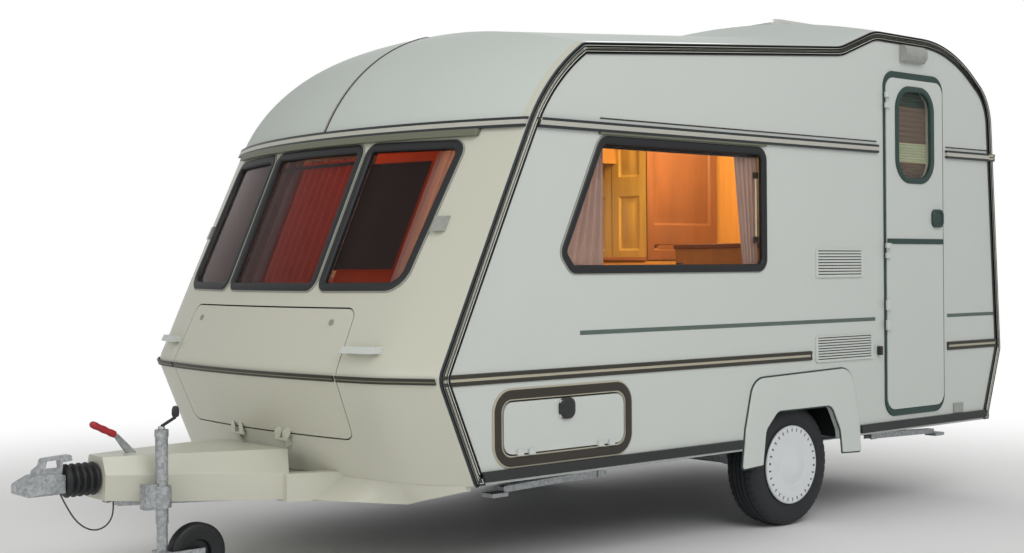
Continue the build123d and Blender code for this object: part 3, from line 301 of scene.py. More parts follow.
MATERIAL_NODES = {
    "enamel": ["left_side_wall", "right_side_wall", "lower_door", "upper_door", "side_locker_door"],
    "moulding": ["drawbar_fairing", "front_panel", "rear_panel", "front_skirt", "gas_locker_lid"],
    "roof": ["roof_panel"],
    "silver": ["awning_rails"],
    "rail": ["belt_rails", "gas_locker_trim"],
    "drip": ["drip_rails"],
    "hood": ["window_hoods"],
    "rubber": ["coupling_bellows", "jockey_wheel", "window_frames"],
    "door_seal": ["door_surrounds", "upper_door_window_frame"],
    "black": ["door_handle", "rubbing_strips"],
    "white_plastic": ["grab_handles", "rooflight_frame", "side_vents", "wheel_spats"],
    "steel": ["axle_tube", "chassis_rails", "coupling_head", "drawbar", "front_left_steady",
              "front_right_steady", "rear_left_steady", "rear_right_steady", "handbrake", "jockey_clamp",
              "jockey_fork", "jockey_stem", "jockey_tube", "steady_brackets", "swing_arms"],
    "trim": ["left_wheel", "right_wheel"],
    "tyre": ["left_tyre", "right_tyre"],
    "front_glass": ["front_window_panes"],
    "side_glass": ["side_window_panes", "upper_door_pane"],
    "wood": ["cabinets", "seat_boxes", "washroom_wall"],
    "well": ["floor", "gas_locker_box"],
    "dome": ["rooflight_lid"],
    "lens": ["marker_lamps"],
    "red_lens": ["tail_lamps"],
    "upholstery": ["seat_cushions"],
    "side_curtain": ["curtains"],
    "cable": ["breakaway_cable"],
}


# Ways to make a piece
def place_at(x, y, z):
    """A point given by its length ahead of the axle."""
    return Vector((x + AXLE_X, y, z))


def paint(obj, name):
    obj.data.materials.clear()
    obj.data.materials.append(materials[name])


def linked(name, data, body=SHELL):
    obj = bpy.data.objects.new(name, data)
    bpy.context.scene.collection.objects.link(obj)
    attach(obj, body)
    return obj


def smooth_by_angle(obj, angle=40.0):
    """Marks the sharp edges, so that the rest shade smoothly."""
    bm = bmesh.new()
    bm.from_mesh(obj.data)
    for edge in bm.edges:
        edge.smooth = len(edge.link_faces) != 2 or edge.calc_face_angle(pi) < radians(angle)
    for face in bm.faces:
        face.smooth = True
    bm.to_mesh(obj.data)
    bm.free()


def bevelled(obj, width, segments=2, angle=30.0):
    bevel = obj.modifiers.new("bevel", "BEVEL")
    bevel.width = width
    bevel.segments = segments
    bevel.limit_method = "ANGLE"
    bevel.angle_limit = radians(angle)
    return obj


def welded(node):
    """A CAD node's mesh with its split points joined."""
    bm = bmesh.new()
    bm.from_mesh(nodes[node].data)
    bmesh.ops.remove_doubles(bm, verts=bm.verts, dist=0.00002)
    return bm


def skin_probe(node):
    """A CAD node's surface, to be met by rays."""
    bm = welded(node)
    tree = BVHTree.FromBMesh(bm)
    bm.free()
    return tree


def swapped(node, bm, suffix="_body", angle=40.0):
    """A changed copy of a CAD node's mesh, in the node's place and with its material."""
    mesh = bpy.data.meshes.new(node + suffix)
    bm.to_mesh(mesh)
    bm.free()
    obj = linked(node + suffix, mesh, BODY_OF[node])
    mesh.materials.append(nodes[node].data.materials[0])
    smooth_by_angle(obj, angle)
    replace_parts(obj, node)
    return obj


def softened(node, width):
    """A CAD node with its edges rounded over."""
    bm = welded(node)
    bmesh.ops.dissolve_limit(bm, angle_limit=radians(1.0), verts=bm.verts, edges=bm.edges)
    bevelled(swapped(node, bm), width, angle=35.0)


def reshaped(node, move):
    """A CAD node's mesh with its points moved, in the node's place."""
    bm = welded(node)
    for vert in bm.verts:
        vert.co = move(vert.co)
    swapped(node, bm)


def made(name, verts, faces, material, body=SHELL, kinds=(), angle=35.0):
    """A piece from its corners and faces, shaded smoothly up to an angle."""
    mesh = bpy.data.meshes.new(name)
    mesh.from_pydata([tuple(v) for v in verts], [], faces)
    obj = linked(name, mesh, body)
    for key in [material] if isinstance(material, str) else material:
        mesh.materials.append(materials[key])
    for polygon, kind in zip(mesh.polygons, kinds):
        polygon.material_index = kind
    bm = bmesh.new()
    bm.from_mesh(mesh)
    bmesh.ops.recalc_face_normals(bm, faces=bm.faces)
    bm.to_mesh(mesh)
    bm.free()
    smooth_by_angle(obj, angle)
    return obj


def quads(count, rows, closed=True, start=0, tube=False):
    """Faces between rows of points: one row to each place round a loop or along a line."""
    faces = []
    for i in range(count if closed else count - 1):
        for j in range(rows if tube else rows - 1):
            a, b = start + i * rows, start + (i + 1) % count * rows
            faces.append((a + j, b + j, b + (j + 1) % rows, a + (j + 1) % rows))
    return faces


def box_shape(low, high, start=0):
    (x0, y0, z0), (x1, y1, z1) = low, high
    verts = [place_at(x, y, z) for x in (x0, x1) for y in (y0, y1) for z in (z0, z1)]
    sides = [(0, 1, 3, 2), (4, 6, 7, 5), (0, 4, 5, 1), (2, 3, 7, 6), (0, 2, 6, 4), (1, 5, 7, 3)]
    return verts, [tuple(start + k for k in side) for side in sides]


def board(name, low, high, material, edge=0.003, body=SHELL):
    """A flat panel with eased edges."""
    return bevelled(made(name, *box_shape(low, high), material, body), edge)


def turned_about(name, start, end, section, material, body=SHELL, turns=40):
    """A round piece about a line. Its section lists lengths along the line and radii."""
    axis = (end - start).normalized()
    side = axis.orthogonal().normalized()
    up = axis.cross(side)
    verts, rows = [], len(section)
    for k in range(turns):
        out = side * cos(2 * pi * k / turns) + up * sin(2 * pi * k / turns)
        verts += [start + axis * along + out * radius for along, radius in section]
    ends = [tuple(k * rows + row for k in range(turns)) for row in (0, rows - 1)]
    return made(name, verts, quads(turns, rows) + ends, material, body)


def eased(length, radius):
    """The section of a rod with eased ends."""
    edge = 0.002
    return [(0, radius - edge), (edge, radius), (length - edge, radius), (length, radius - edge)]


def rounded(corners, step=6, spacing=None):
    """Points along a closed outline with rounded corners (u, v, radius), and more on its long runs."""
    points = []
    for i, (u, v, radius) in enumerate(corners):
        here = Vector((u, v))
        before = (Vector(corners[i - 1][:2]) - here).normalized()
        after = (Vector(corners[(i + 1) % len(corners)][:2]) - here).normalized()
        half = before.angle(after) / 2
        centre = here + (before + after).normalized() * radius / sin(half)
        reach = radius / tan(half)
        for k in range(step + 1):
            spot = (here + before * reach).lerp(here + after * reach, k / step) - centre
            points.append(centre + spot.normalized() * radius)
    if not spacing:
        return points
    result = []
    for a, b in zip(points, points[1:] + points[:1]):
        count = max(1, round((b - a).length / spacing))
        result += [a.lerp(b, k / count) for k in range(count)]
    return result


def strip_round(name, outline, profile, put, material, body=SHELL):
    """A strip along a closed outline. Its profile: how far in, how proud, which material lies beyond."""
    area = sum(a.x * b.y - b.x * a.y for a, b in zip(outline, outline[1:] + outline[:1]))
    inward = 1 if area > 0 else -1
    verts = []
    for i, point in enumerate(outline):
        run = (outline[(i + 1) % len(outline)] - outline[i - 1]).normalized()
        normal = Vector((-run.y, run.x)) * inward
        verts += [put(*(point + normal * offset), proud) for offset, proud, kind in profile]
    kinds = [kind for offset, proud, kind in profile[:-1]] * len(outline)
    return made(name, verts, quads(len(outline), len(profile)), material, body, kinds, 30.0)


def rail(name, section, spots, put, material, capped=True):
    """A rail along a row of spots. Its section: how far across, how proud, which material lies beyond."""
    rows, last = len(section), len(spots) - 1
    verts = [put(u, across, proud) for u in spots for across, proud, kind in section]
    ends = [tuple(range(row, row + rows)) for row in (0, last * rows)]
    faces = quads(last + 1, rows, closed=False) + ends
    kinds = [0 if capped and i in (0, last - 1) else kind
             for i in range(last) for across, proud, kind in section[:-1]]
    return made(name, verts, faces, material, kinds=kinds + [0, 0], angle=30.0)


def on_side(side, base=HALF_WIDTH):
    return lambda x, z, proud: place_at(x, side * (base + proud), z)


def steps(start, end, count):
    return [start + (end - start) * i / count for i in range(count + 1)]


def between(value, *points):
    """Straight-line table lookup, level beyond its ends."""
    if value <= points[0][0]:
        return points[0][1]
    for (a, fa), (b, fb) in zip(points, points[1:]):
        if value <= b:
            return fa + (fb - fa) * (value - a) / (b - a)
    return points[-1][1]


# Awning rail round each side wall: dark edges, cream between them and a dark line along the middle
RAIL_PROUD, RAIL_STEP = 0.008, 0.012
# How far from the outer edge, how proud, and which material the face beyond has
RAIL_PROFILE = [(0.0, 0.0, 0), (0.0, 0.006, 0), (0.002, 0.008, 0), (0.009, 0.008, 1), (0.011, 0.0065, 1),
                (0.0205, 0.0065, 0), (0.0215, 0.005, 0), (0.0245, 0.005, 0), (0.0255, 0.0065, 1),
                (0.034, 0.0065, 1), (0.036, 0.008, 0), (0.043, 0.008, 0), (0.045, 0.006, 0), (0.045, 0.0, 0)]


def edge_loops(bm, flat_y):
    """The closed outlines of the faces that lie in the plane y = flat_y."""
    inside = {f for f in bm.faces if all(abs(v.co.y - flat_y) < 0.0004 for v in f.verts)}
    rim = [e for e in bm.edges if sum(f in inside for f in e.link_faces) == 1]
    after = {}
    for edge in rim:
        for vert in edge.verts:
            after.setdefault(vert, []).append(edge)
    loops, seen = [], set()
    for edge in rim:
        if edge in seen:
            continue
        loop, vert, current = [], edge.verts[0], edge
        while current not in seen:
            seen.add(current)
            loop.append(vert.co.copy())
            vert = current.other_vert(vert)
            current = next((e for e in after[vert] if e not in seen), current)
        loops.append(loop)
    return loops


def resampled(loop, step):
    """A closed outline as evenly spaced points in x and z."""
    points = [Vector((p.x - AXLE_X, p.z)) for p in loop]
    points.append(points[0])
    lengths = [0.0]
    for a, b in zip(points, points[1:]):
        lengths.append(lengths[-1] + (b - a).length)
    count = round(lengths[-1] / step)
    result, index = [], 0
    for i in range(count):
        target = lengths[-1] * i / count
        while lengths[index + 1] < target:
            index += 1
        share = (target - lengths[index]) / (lengths[index + 1] - lengths[index])
        result.append(points[index].lerp(points[index + 1], share))
    return result


def awning_rails():
    bm = welded("awning_rails")
    for side, label in SIDES:
        outer = resampled(max(edge_loops(bm, side * (HALF_WIDTH + RAIL_PROUD)), key=len), RAIL_STEP)
        piece = strip_round(label + "_awning_rail", outer, RAIL_PROFILE, on_side(side), ["insert", "silver"])
        if side == 1:
            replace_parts(piece, "awning_rails")
    bm.free()


# Tyres with a road tread
TYRE_R = 0.284
TYRE_MID_Y = 0.9295
TYRE_TURNS, SLOT_EVERY, SLOT_DEPTH, SLOT_LEAN = 288, 6, 0.004, 0.35
# Where the tread's slots lie: across from the tyre's middle, and radius
SLOT_START_Y, SLOT_END_Y, SLOT_FOOT_R = 0.014, 0.078, 0.26
# Across the tyre from its middle, and radius, for one half of the section
TYRE_HALF = [(0.0, 0.2835), (0.006, 0.2835), (0.008, 0.2765), (0.012, 0.2765), (0.014, 0.2832),
             (0.031, 0.2828), (0.033, 0.276), (0.038, 0.276), (0.04, 0.282), (0.06, 0.2785), (0.068, 0.274),
             (0.076, 0.262), (0.0815, 0.243), (0.0822, 0.226), (0.081, 0.208), (0.0805, 0.206),
             (0.0795, 0.2055), (0.077, 0.19), (0.0725, 0.1735), (0.0685, 0.167), (0.0675, 0.1652)]


def road_tyre(side, label):
    section = [(-y, radius) for y, radius in reversed(TYRE_HALF[1:])] + TYRE_HALF
    verts = []
    for i in range(TYRE_TURNS):
        for y, radius in section:
            slotted = i % SLOT_EVERY == 0 and SLOT_START_Y < abs(y) < SLOT_END_Y and radius > SLOT_FOOT_R
            reach = radius - (SLOT_DEPTH if slotted else 0.0)
            angle = 2 * pi * i / TYRE_TURNS + SLOT_LEAN * abs(y)
            verts.append(place_at(reach * sin(angle), side * (TYRE_MID_Y + y), TYRE_R + reach * cos(angle)))
    piece = made(label + "_road_tyre", verts, quads(TYRE_TURNS, len(section)), "tyre", label + "_road_wheel")
    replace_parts(piece, label + "_tyre")


# The bow's skin at three heights: z, x on the centreline, x at the side wall, radius across the front
BOW = [(0.25, 2.098, 1.888, 4.2), (0.795, 2.328, 2.118, 4.2), (1.76, 1.907, None, 2.497)]
BOW_CORNER_Y = 0.85
BOW_SOFTNESS = 90.0
# Ahead of which x the skin is cut finer and moved, and the longest edge left on it
BOW_CUT_X, BOW_MOVE_X, BOW_EDGE = 1.2, 1.3, 0.07
# The solids' bow is turned about an upright axis: its place, and its radius at the same heights
BOW_AXIS_X = -0.59
BOW_RADII = [(0.25, 2.6955), (0.795, 2.9081), (1.76, 2.497)]


def plan_x(level, y):
    """The bow's plan at one height: an arc that turns into a straight run near the side wall."""
    z, middle, side, radius = level
    arc = middle - radius + sqrt(radius ** 2 - y ** 2)
    if side is None:
        return arc
    corner = middle - radius + sqrt(radius ** 2 - BOW_CORNER_Y ** 2)
    line = corner + (side - corner) * (y - BOW_CORNER_Y) / (HALF_WIDTH - BOW_CORNER_Y)
    low = min(arc, line)
    return low - log(exp(BOW_SOFTNESS * (low - arc)) + exp(BOW_SOFTNESS * (low - line))) / BOW_SOFTNESS


def bow_x(y, z):
    """Length of the bow's skin ahead of the axle."""
    z = min(max(z, BOW[0][0]), BOW[2][0])
    low, high = (BOW[0], BOW[1]) if z < BOW[1][0] else (BOW[1], BOW[2])
    share = (z - low[0]) / (high[0] - low[0])
    return plan_x(low, abs(y)) * (1 - share) + plan_x(high, abs(y)) * share


def turned_x(y, z):
    """The same on the solids."""
    return BOW_AXIS_X + sqrt(between(z, *BOW_RADII) ** 2 - y ** 2)


def on_bow(y, z, proud):
    step = 0.004
    along_y = Vector((bow_x(y + step, z) - bow_x(y - step, z), 2 * step, 0))
    along_z = Vector((bow_x(y, z + step) - bow_x(y, z - step), 0, 2 * step))
    out = along_y.cross(along_z).normalized()
    return place_at(bow_x(y, z), y, z) + (out if out.x > 0 else -out) * proud


def shifted_outline(y, z):
    """Where the edge of the gas locker's lid and the panes' edges lie on the fuller bow."""
    size, sign = abs(y), 1 if y > 0 else -1
    edge = between(z, (0.525, 0.548), (1.05, 0.605))
    new_edge = between(z, (0.545, 0.61), (0.79, 0.63), (1.052, 0.612))
    lid = between(size, (0, 0), (edge, new_edge), (1.0, 1.0)) - size if size < 1.0 else 0.0
    panes = between(size, (0, 0), (0.352, 0.333), (0.366, 0.347), (0.812, 0.812), (1.2, 1.2)) - size
    lid_share = between(z, (0.4, 0.0), (0.5, 1.0), (1.06, 1.0), (1.1, 0.0))
    pane_share = between(z, (1.06, 0.0), (1.1, 1.0), (1.735, 1.0), (1.76, 0.0))
    low_edge = between(z, (0.45, 0.0), (0.512, 0.02), (0.53, 0.02), (0.62, 0.0))
    rise = low_edge * between(size, (0.66, 1.0), (0.75, 0.0))
    return sign * (size + lid * lid_share + panes * pane_share), z + rise


def fuller(node, with_outlines=False):
    """A CAD node of the bow, carried out to the fuller bow of the photograph."""
    bm = welded(node)
    bmesh.ops.triangulate(bm, faces=bm.faces)
    for _ in range(7):
        near_bow = [e for e in bm.edges if max(v.co.x for v in e.verts) > BOW_CUT_X + AXLE_X]
        long_edges = [e for e in near_bow if e.calc_length() > BOW_EDGE]
        if not long_edges:
            break
        bmesh.ops.subdivide_edges(bm, edges=long_edges, cuts=1)
        bmesh.ops.triangulate(bm, faces=[f for f in bm.faces if len(f.verts) > 3])
    for vert in bm.verts:
        x, y, z = vert.co.x - AXLE_X, vert.co.y, vert.co.z
        if x < BOW_MOVE_X or abs(y) > HALF_WIDTH + 0.0002 or z > BOW[2][0]:
            continue
        deep = turned_x(y, z) - x
        share = between(deep, (-0.2, 0.0), (-0.05, 1.0), (0.12, 1.0), (0.3, 0.0))
        knuckle = deep < -0.0015 and abs(y) < 0.23 and z < 0.56
        new_y, new_z = shifted_outline(y, z) if with_outlines and not knuckle else (y, z)
        shift = bow_x(new_y, new_z) - turned_x(y, z)
        vert.co = (vert.co.x + shift * share, y + (new_y - y) * share, z + (new_z - z) * share)
    mesh = swapped(node, bm, "_skin", 28.0).data
    mesh.materials.append(materials["moulding"])
    if node.endswith("side_wall"):
        for polygon in mesh.polygons:
            if polygon.normal.x > 0.3 and polygon.center.x > BOW_CUT_X + AXLE_X:
                polygon.material_index = 1


# Windows: corners (along, z, radius) of each opening, and the section of its rubber frame
SIDE_WINDOW = [(0.226, 1.18, 0.06), (1.44, 1.18, 0.06), (1.503, 1.262, 0.06), (1.275, 1.742, 0.07),
               (0.226, 1.742, 0.06)]
KITCHEN_WINDOW = [(-0.76, 1.262, 0.06), (-0.18, 1.262, 0.06), (-0.18, 1.7, 0.06), (-0.76, 1.7, 0.06)]
STERN_WINDOW = [(-0.31, 1.33, 0.06), (0.31, 1.33, 0.06), (0.31, 1.72, 0.06), (-0.31, 1.72, 0.06)]
MID_PANE = [(-0.333, 1.115, 0.05), (0.333, 1.115, 0.05), (0.333, 1.72, 0.05), (-0.333, 1.72, 0.05)]
NEAR_PANE = [(0.347, 1.115, 0.05), (0.812, 1.118, 0.09), (0.85, 1.712, 0.06), (0.347, 1.72, 0.05)]
FAR_PANE = [(-u, v, radius) for u, v, radius in reversed(NEAR_PANE)]
DOOR_WINDOW = [(-1.086, 1.615, 0.12), (-0.757, 1.615, 0.12), (-0.757, 2.098, 0.12), (-1.086, 2.098, 0.12)]
RUBBER = [(-0.004, 0.0, 1), (-0.003, 0.004, 1), (0.001, 0.006, 0), (0.006, 0.0095, 0), (0.018, 0.0105, 0),
          (0.03, 0.0085, 0), (0.035, 0.003, 0), (0.036, -0.012, 0)]
PANE_INSET, PANE_DEPTH, PANE_THICK = 0.022, 0.007, 0.004
PANE_RINGS = 8
STERN = skin_probe("rear_panel")


def at_stern(y, z, proud):
    hit, _, _, _ = STERN.ray_cast(Vector((-4.0, 0.45, z)), Vector((1, 0, 0)))
    return Vector((hit.x - proud, y, z))


def shrink(corners, gap):
    """An outline with every corner pulled in by about a gap."""
    middle = sum((Vector(c[:2]) for c in corners), Vector((0, 0))) / len(corners)
    return [(u - gap if u > middle.x else u + gap, v - gap if v > middle.y else v + gap, radius)
            for u, v, radius in corners]


def pane_sheet(name, corners, put, material):
    """A pane with its thickness, laid in its frame."""
    edge = rounded(corners, spacing=0.05)
    middle = sum((p for p in edge), Vector((0, 0))) / len(edge)
    count, rim = len(edge), (PANE_RINGS - 1) * len(edge)
    face_size = PANE_RINGS * count + 1
    verts, faces = [], []
    for deep in (PANE_DEPTH, PANE_DEPTH + PANE_THICK):
        base = len(verts)
        for k in range(PANE_RINGS):
            verts += [put(*middle.lerp(p, (k + 1) / PANE_RINGS), -deep) for p in edge]
        verts.append(put(*middle, -deep))
        faces += quads(PANE_RINGS, count, closed=False, start=base, tube=True)
        faces += [(base + i, base + (i + 1) % count, base + face_size - 1) for i in range(count)]
    for i in range(count):
        j = (i + 1) % count
        faces.append((rim + i, rim + j, face_size + rim + j, face_size + rim + i))
    return made(name, verts, faces, material)


def glazed(label, corners, put, glass, spacing=0.05):
    """A window's rubber frame and its pane."""
    frame_piece = strip_round(label + "_frame", rounded(corners, spacing=spacing), RUBBER, put,
                              ["rubber", "grey_plastic"])
    return frame_piece, pane_sheet(label + "_pane", shrink(corners, PANE_INSET), put, glass)


def windows():
    frame_piece, pane = glazed("mid_front", MID_PANE, on_bow, "front_glass", 0.03)
    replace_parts(frame_piece, "window_frames")
    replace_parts(pane, "front_window_panes")
    glazed("near_front", NEAR_PANE, on_bow, "front_glass", 0.03)
    glazed("far_front", FAR_PANE, on_bow, "front_glass", 0.03)
    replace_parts(glazed("left_side", SIDE_WINDOW, on_side(1), "side_glass")[1], "side_window_panes")
    glazed("right_side", SIDE_WINDOW, on_side(-1), "side_glass")
    glazed("right_kitchen", KITCHEN_WINDOW, on_side(-1), "side_glass")
    glazed("stern", STERN_WINDOW, at_stern, "side_glass")


# Level rails and stripes: z up the section, how proud, and which material lies beyond
BELT_SECTION = [(-0.022, 0.0, 0), (-0.021, 0.006, 0), (-0.017, 0.008, 0), (-0.008, 0.0075, 0),
                (-0.005, 0.0055, 1), (0.004, 0.0055, 1), (0.006, 0.0075, 0), (0.018, 0.008, 0),
                (0.021, 0.006, 0), (0.022, 0.0, 0)]
DRIP_SECTION = [(-0.02, 0.0, 0), (-0.019, 0.01, 0), (-0.012, 0.012, 1), (-0.002, 0.012, 1), (0.0, 0.008, 0),
                (0.002, 0.008, 1), (0.004, 0.013, 1), (0.016, 0.013, 0), (0.019, 0.011, 0), (0.02, 0.0, 0)]
STRIPE_SECTION = [(-0.009, 0.0, 0), (-0.008, 0.002, 0), (0.008, 0.002, 0), (0.009, 0.0, 0)]
LINE_SECTION = [(-0.003, 0.0, 0), (-0.002, 0.004, 0), (0.002, 0.004, 0), (0.003, 0.0, 0)]
# Name, section, height, materials, and the stretches on the near side, clear of the door
DOOR_REAR = -1.215
SIDE_RAILS = [
    ("belt_rail", BELT_SECTION, BELT_Z, ["rail_dark", "rail"], [(2.098, -0.093), (DOOR_REAR, -1.695)]),
    ("drip_rail", DRIP_SECTION, DRIP_Z, ["rail_dark", "rail"], [(1.615, -0.621), (DOOR_REAR, -1.665)]),
    ("stripe", STRIPE_SECTION, STRIPE_Z, ["stripe"], [(1.39, -0.594), (-1.218, -1.685)]),
    ("trim_line", LINE_SECTION, LINE_Z, ["rail_dark"], [(1.27, -0.613), (DOOR_REAR, -1.64)]),
]
CAP = 0.012
LID_EDGE, BOW_BELT = 0.622, (0.638, 1.052)


def at_height(put, z):
    return lambda u, dz, proud: put(u, z + dz, proud)


def rails():
    for side, label in SIDES:
        for name, section, z, tones, stretches in SIDE_RAILS:
            if side < 0:
                stretches = [(stretches[0][0], stretches[-1][1])]
            for index, (x0, x1) in enumerate(stretches):
                capped = len(tones) > 1
                spots = [x0] + steps(x0 - CAP, x1 + CAP, 6) + [x1] if capped else steps(x0, x1, 4)
                rail(f"{label}_{name}_{index}", section, spots, at_height(on_side(side), z), tones)
    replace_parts(bpy.data.objects["left_belt_rail_0"], "belt_rails")
    slim = [(dz / 2, proud, kind) for dz, proud, kind in BELT_SECTION]
    put, tones = at_height(on_bow, BELT_Z), ["rail_dark", "belt_front"]
    on_lid = rail("lid_belt_rail", slim, steps(-LID_EDGE, LID_EDGE, 40), put, tones, False)
    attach(on_lid, "gas_lid")
    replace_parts(on_lid, "gas_locker_trim")
    for side, label in SIDES:
        rail(label + "_bow_belt_rail", slim, [side * y for y in steps(*BOW_BELT, 24)], put, tones, False)


# The roof's seam, by rays from a centre inside the caravan
SEAM_CENTRE = place_at(0.6, 0, 1.5)
SEAM_START, SEAM_SWEEP, SEAM_COUNT, SEAM_END_X = 13.0, 115.0, 60, -0.4
SEAM_SECTION = [(-0.009, 0.0005, 0), (-0.008, 0.003, 0), (-0.003, 0.0045, 1), (0.003, 0.0045, 0),
                (0.008, 0.003, 0), (0.009, 0.0005, 0)]


def roof_seam():
    """The trim along the roof's centre, from the drip rail back over the bow."""
    skin = skin_probe("roof_panel")
    spots = []
    for k in range(SEAM_COUNT + 1):
        angle = radians(SEAM_START + SEAM_SWEEP * k / SEAM_COUNT)
        ray = Vector((cos(angle), 0, sin(angle)))
        hit, normal, _, _ = skin.ray_cast(SEAM_CENTRE + ray * 4, -ray)
        if hit and hit.z > DRIP_Z + 0.02 and hit.x > SEAM_END_X + AXLE_X:
            spots.append((hit, normal if normal.dot(ray) > 0 else -normal))

    def put(index, across, proud):
        spot, normal = spots[index]
        return spot + normal * proud + Vector((0, across, 0))
    rail("roof_seam", SEAM_SECTION, range(len(spots)), put, ["rail_dark", "rail"], False)


# Drawbar cover: x, half width at the top, shoulder and foot, height of the top, shoulder and foot
FAIRING = [(2.9505, 0.058, 0.084, 0.08, 0.497, 0.428, 0.331), (2.69, 0.138, 0.194, 0.19, 0.495, 0.42, 0.314),
           (2.31, 0.246, 0.358, 0.354, 0.488, 0.402, 0.3)]
FAIRING_TAIL = (2.25, 0.255, 0.485)
# Leg covers: places (x, y) of both ends, and the section (y from the leg's middle, z)
LEG_ENDS = ((2.33, 0.335), (1.93, 0.508))
LEG_SECTION = ((-0.038, 0.292), (-0.04, 0.392), (-0.03, 0.402), (0.03, 0.402), (0.04, 0.392), (0.038, 0.292))


def fairing():
    """The moulded cover over the drawbar: top, two sloping shoulders, two sides and a closed front."""
    verts = []
    for x, top, shoulder, foot, z_top, z_mid, z_foot in FAIRING:
        half = [(foot, z_foot), (shoulder, z_mid), (top, z_top)]
        verts += [place_at(x, -y, z) for y, z in half] + [place_at(x, y, z) for y, z in reversed(half)]
    x, half, z = FAIRING_TAIL
    verts += [place_at(x, -half, z), place_at(x, half, z)]
    faces = quads(3, 6, closed=False) + [(0, 1, 2, 3, 4, 5), (14, 18, 19, 15), (13, 18, 14), (15, 19, 16)]
    piece = made("fairing_moulding", verts, faces, "moulding", angle=25.0)
    piece.modifiers.new("sheet", "SOLIDIFY").thickness = 0.0035
    bevelled(piece, 0.012, 4, 18.0)
    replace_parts(piece, "drawbar_fairing")


def leg_covers():
    """Mouldings that carry the fairing's line back along both drawbar legs."""
    for side, label in SIDES:
        verts = [place_at(x, side * (y + dy), z) for x, y in LEG_ENDS for dy, z in LEG_SECTION]
        faces = quads(2, 6, closed=False) + [(0, 1, 2, 3, 4, 5), (6, 7, 8, 9, 10, 11)]
        made(label + "_leg_cover", verts, faces, "moulding", angle=30.0)


# Jockey wheel's tube and crank
JOCKEY_X, JOCKEY_Y, JOCKEY_FOOT, JOCKEY_TOP = 2.788, 0.22, 0.245, 0.602
TUBE_BORE, TUBE_R, COLLAR_R = 0.0212, 0.024, 0.0265
KNOB = [(0, 0.007), (0.003, 0.012), (0.012, 0.0145), (0.03, 0.0135), (0.04, 0.01), (0.043, 0.004)]


def jockey_gear():
    foot, top = place_at(JOCKEY_X, JOCKEY_Y, JOCKEY_FOOT), place_at(JOCKEY_X, JOCKEY_Y, JOCKEY_TOP)
    length = JOCKEY_TOP - JOCKEY_FOOT
    section = [(length - 0.004, TUBE_BORE), (0, TUBE_BORE), (0, TUBE_R), (length - 0.028, TUBE_R),
               (length - 0.028, COLLAR_R), (length - 0.002, COLLAR_R), (length, 0.0245),
               (length + 0.002, 0.014), (length + 0.012, 0.012)]
    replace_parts(turned_about("jockey_tube_body", foot, top, section, "steel"), "jockey_tube")
    knob = top + Vector((-0.02, 0.072, 0.05))
    neck = top + Vector((0, 0, 0.012))
    turned_about("jockey_crank", neck, knob, eased((knob - neck).length, 0.006), "black")
    turned_about("jockey_knob", knob, knob + Vector((0, 0, 0.04)), KNOB, "black")


STEM_BEND_Z, STEM_TOP_Z, STEM_NEW_TOP_Z = 0.46, 0.573, 0.535
STUB_HOLD, STUB_EASE = 0.0182, 0.0008


def shorter_stem(spot):
    """The stem stops low enough to rise inside the shorter tube."""
    if spot.z <= STEM_BEND_Z:
        return spot
    return Vector((spot.x, spot.y, between(spot.z, (STEM_BEND_Z, STEM_BEND_Z), (STEM_TOP_Z, STEM_NEW_TOP_Z))))


def eased_stub(spot):
    """The stub axles run a little slack in the hubs."""
    across = Vector((spot.x - AXLE_X, spot.z - TYRE_R))
    if across.length > STUB_HOLD:
        return spot
    across -= across.normalized() * STUB_EASE
    return Vector((AXLE_X + across.x, spot.y, TYRE_R + across.y))


# Handbrake's lever and grip
BRAKE_PIVOT, BRAKE_ELBOW = place_at(2.775, 0, 0.4605), place_at(2.868, 0, 0.57)
BRAKE_TIP = place_at(2.972, 0, 0.622)
BRAKE_HALF_THICK = 0.006
BRAKE_GRIP = [(0, 0.009), (0.004, 0.0135), (0.02, 0.0145), (0.035, 0.0125), (0.055, 0.0145), (0.075, 0.0125),
              (0.095, 0.0145), (0.108, 0.013), (0.115, 0.007)]


def handbrake():
    run = (BRAKE_ELBOW - BRAKE_PIVOT).normalized()
    verts = []
    for share, half in ((0.0, 0.019), (0.6, 0.014), (1.0, 0.009)):
        spot, up = BRAKE_PIVOT.lerp(BRAKE_ELBOW, share), Vector((-run.z, 0, run.x)) * half
        for edge, y in ((1, -1), (1, 1), (-1, 1), (-1, -1)):
            verts.append(spot + up * edge + Vector((0, y * BRAKE_HALF_THICK, 0)))
    faces = quads(3, 4, closed=False, tube=True) + [(0, 3, 2, 1), (8, 9, 10, 11)]
    lever = bevelled(made("handbrake_lever", verts, faces, "steel"), 0.002, 1)
    turned_about("handbrake_grip", BRAKE_ELBOW, BRAKE_TIP, BRAKE_GRIP, "red_grip")
    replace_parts(lever, "handbrake")


# Cushions with crowned faces
CUSHION_STEPS, CROWN, SIDE_DRAW, CREASE = 14, 0.014, 0.012, 0.0015


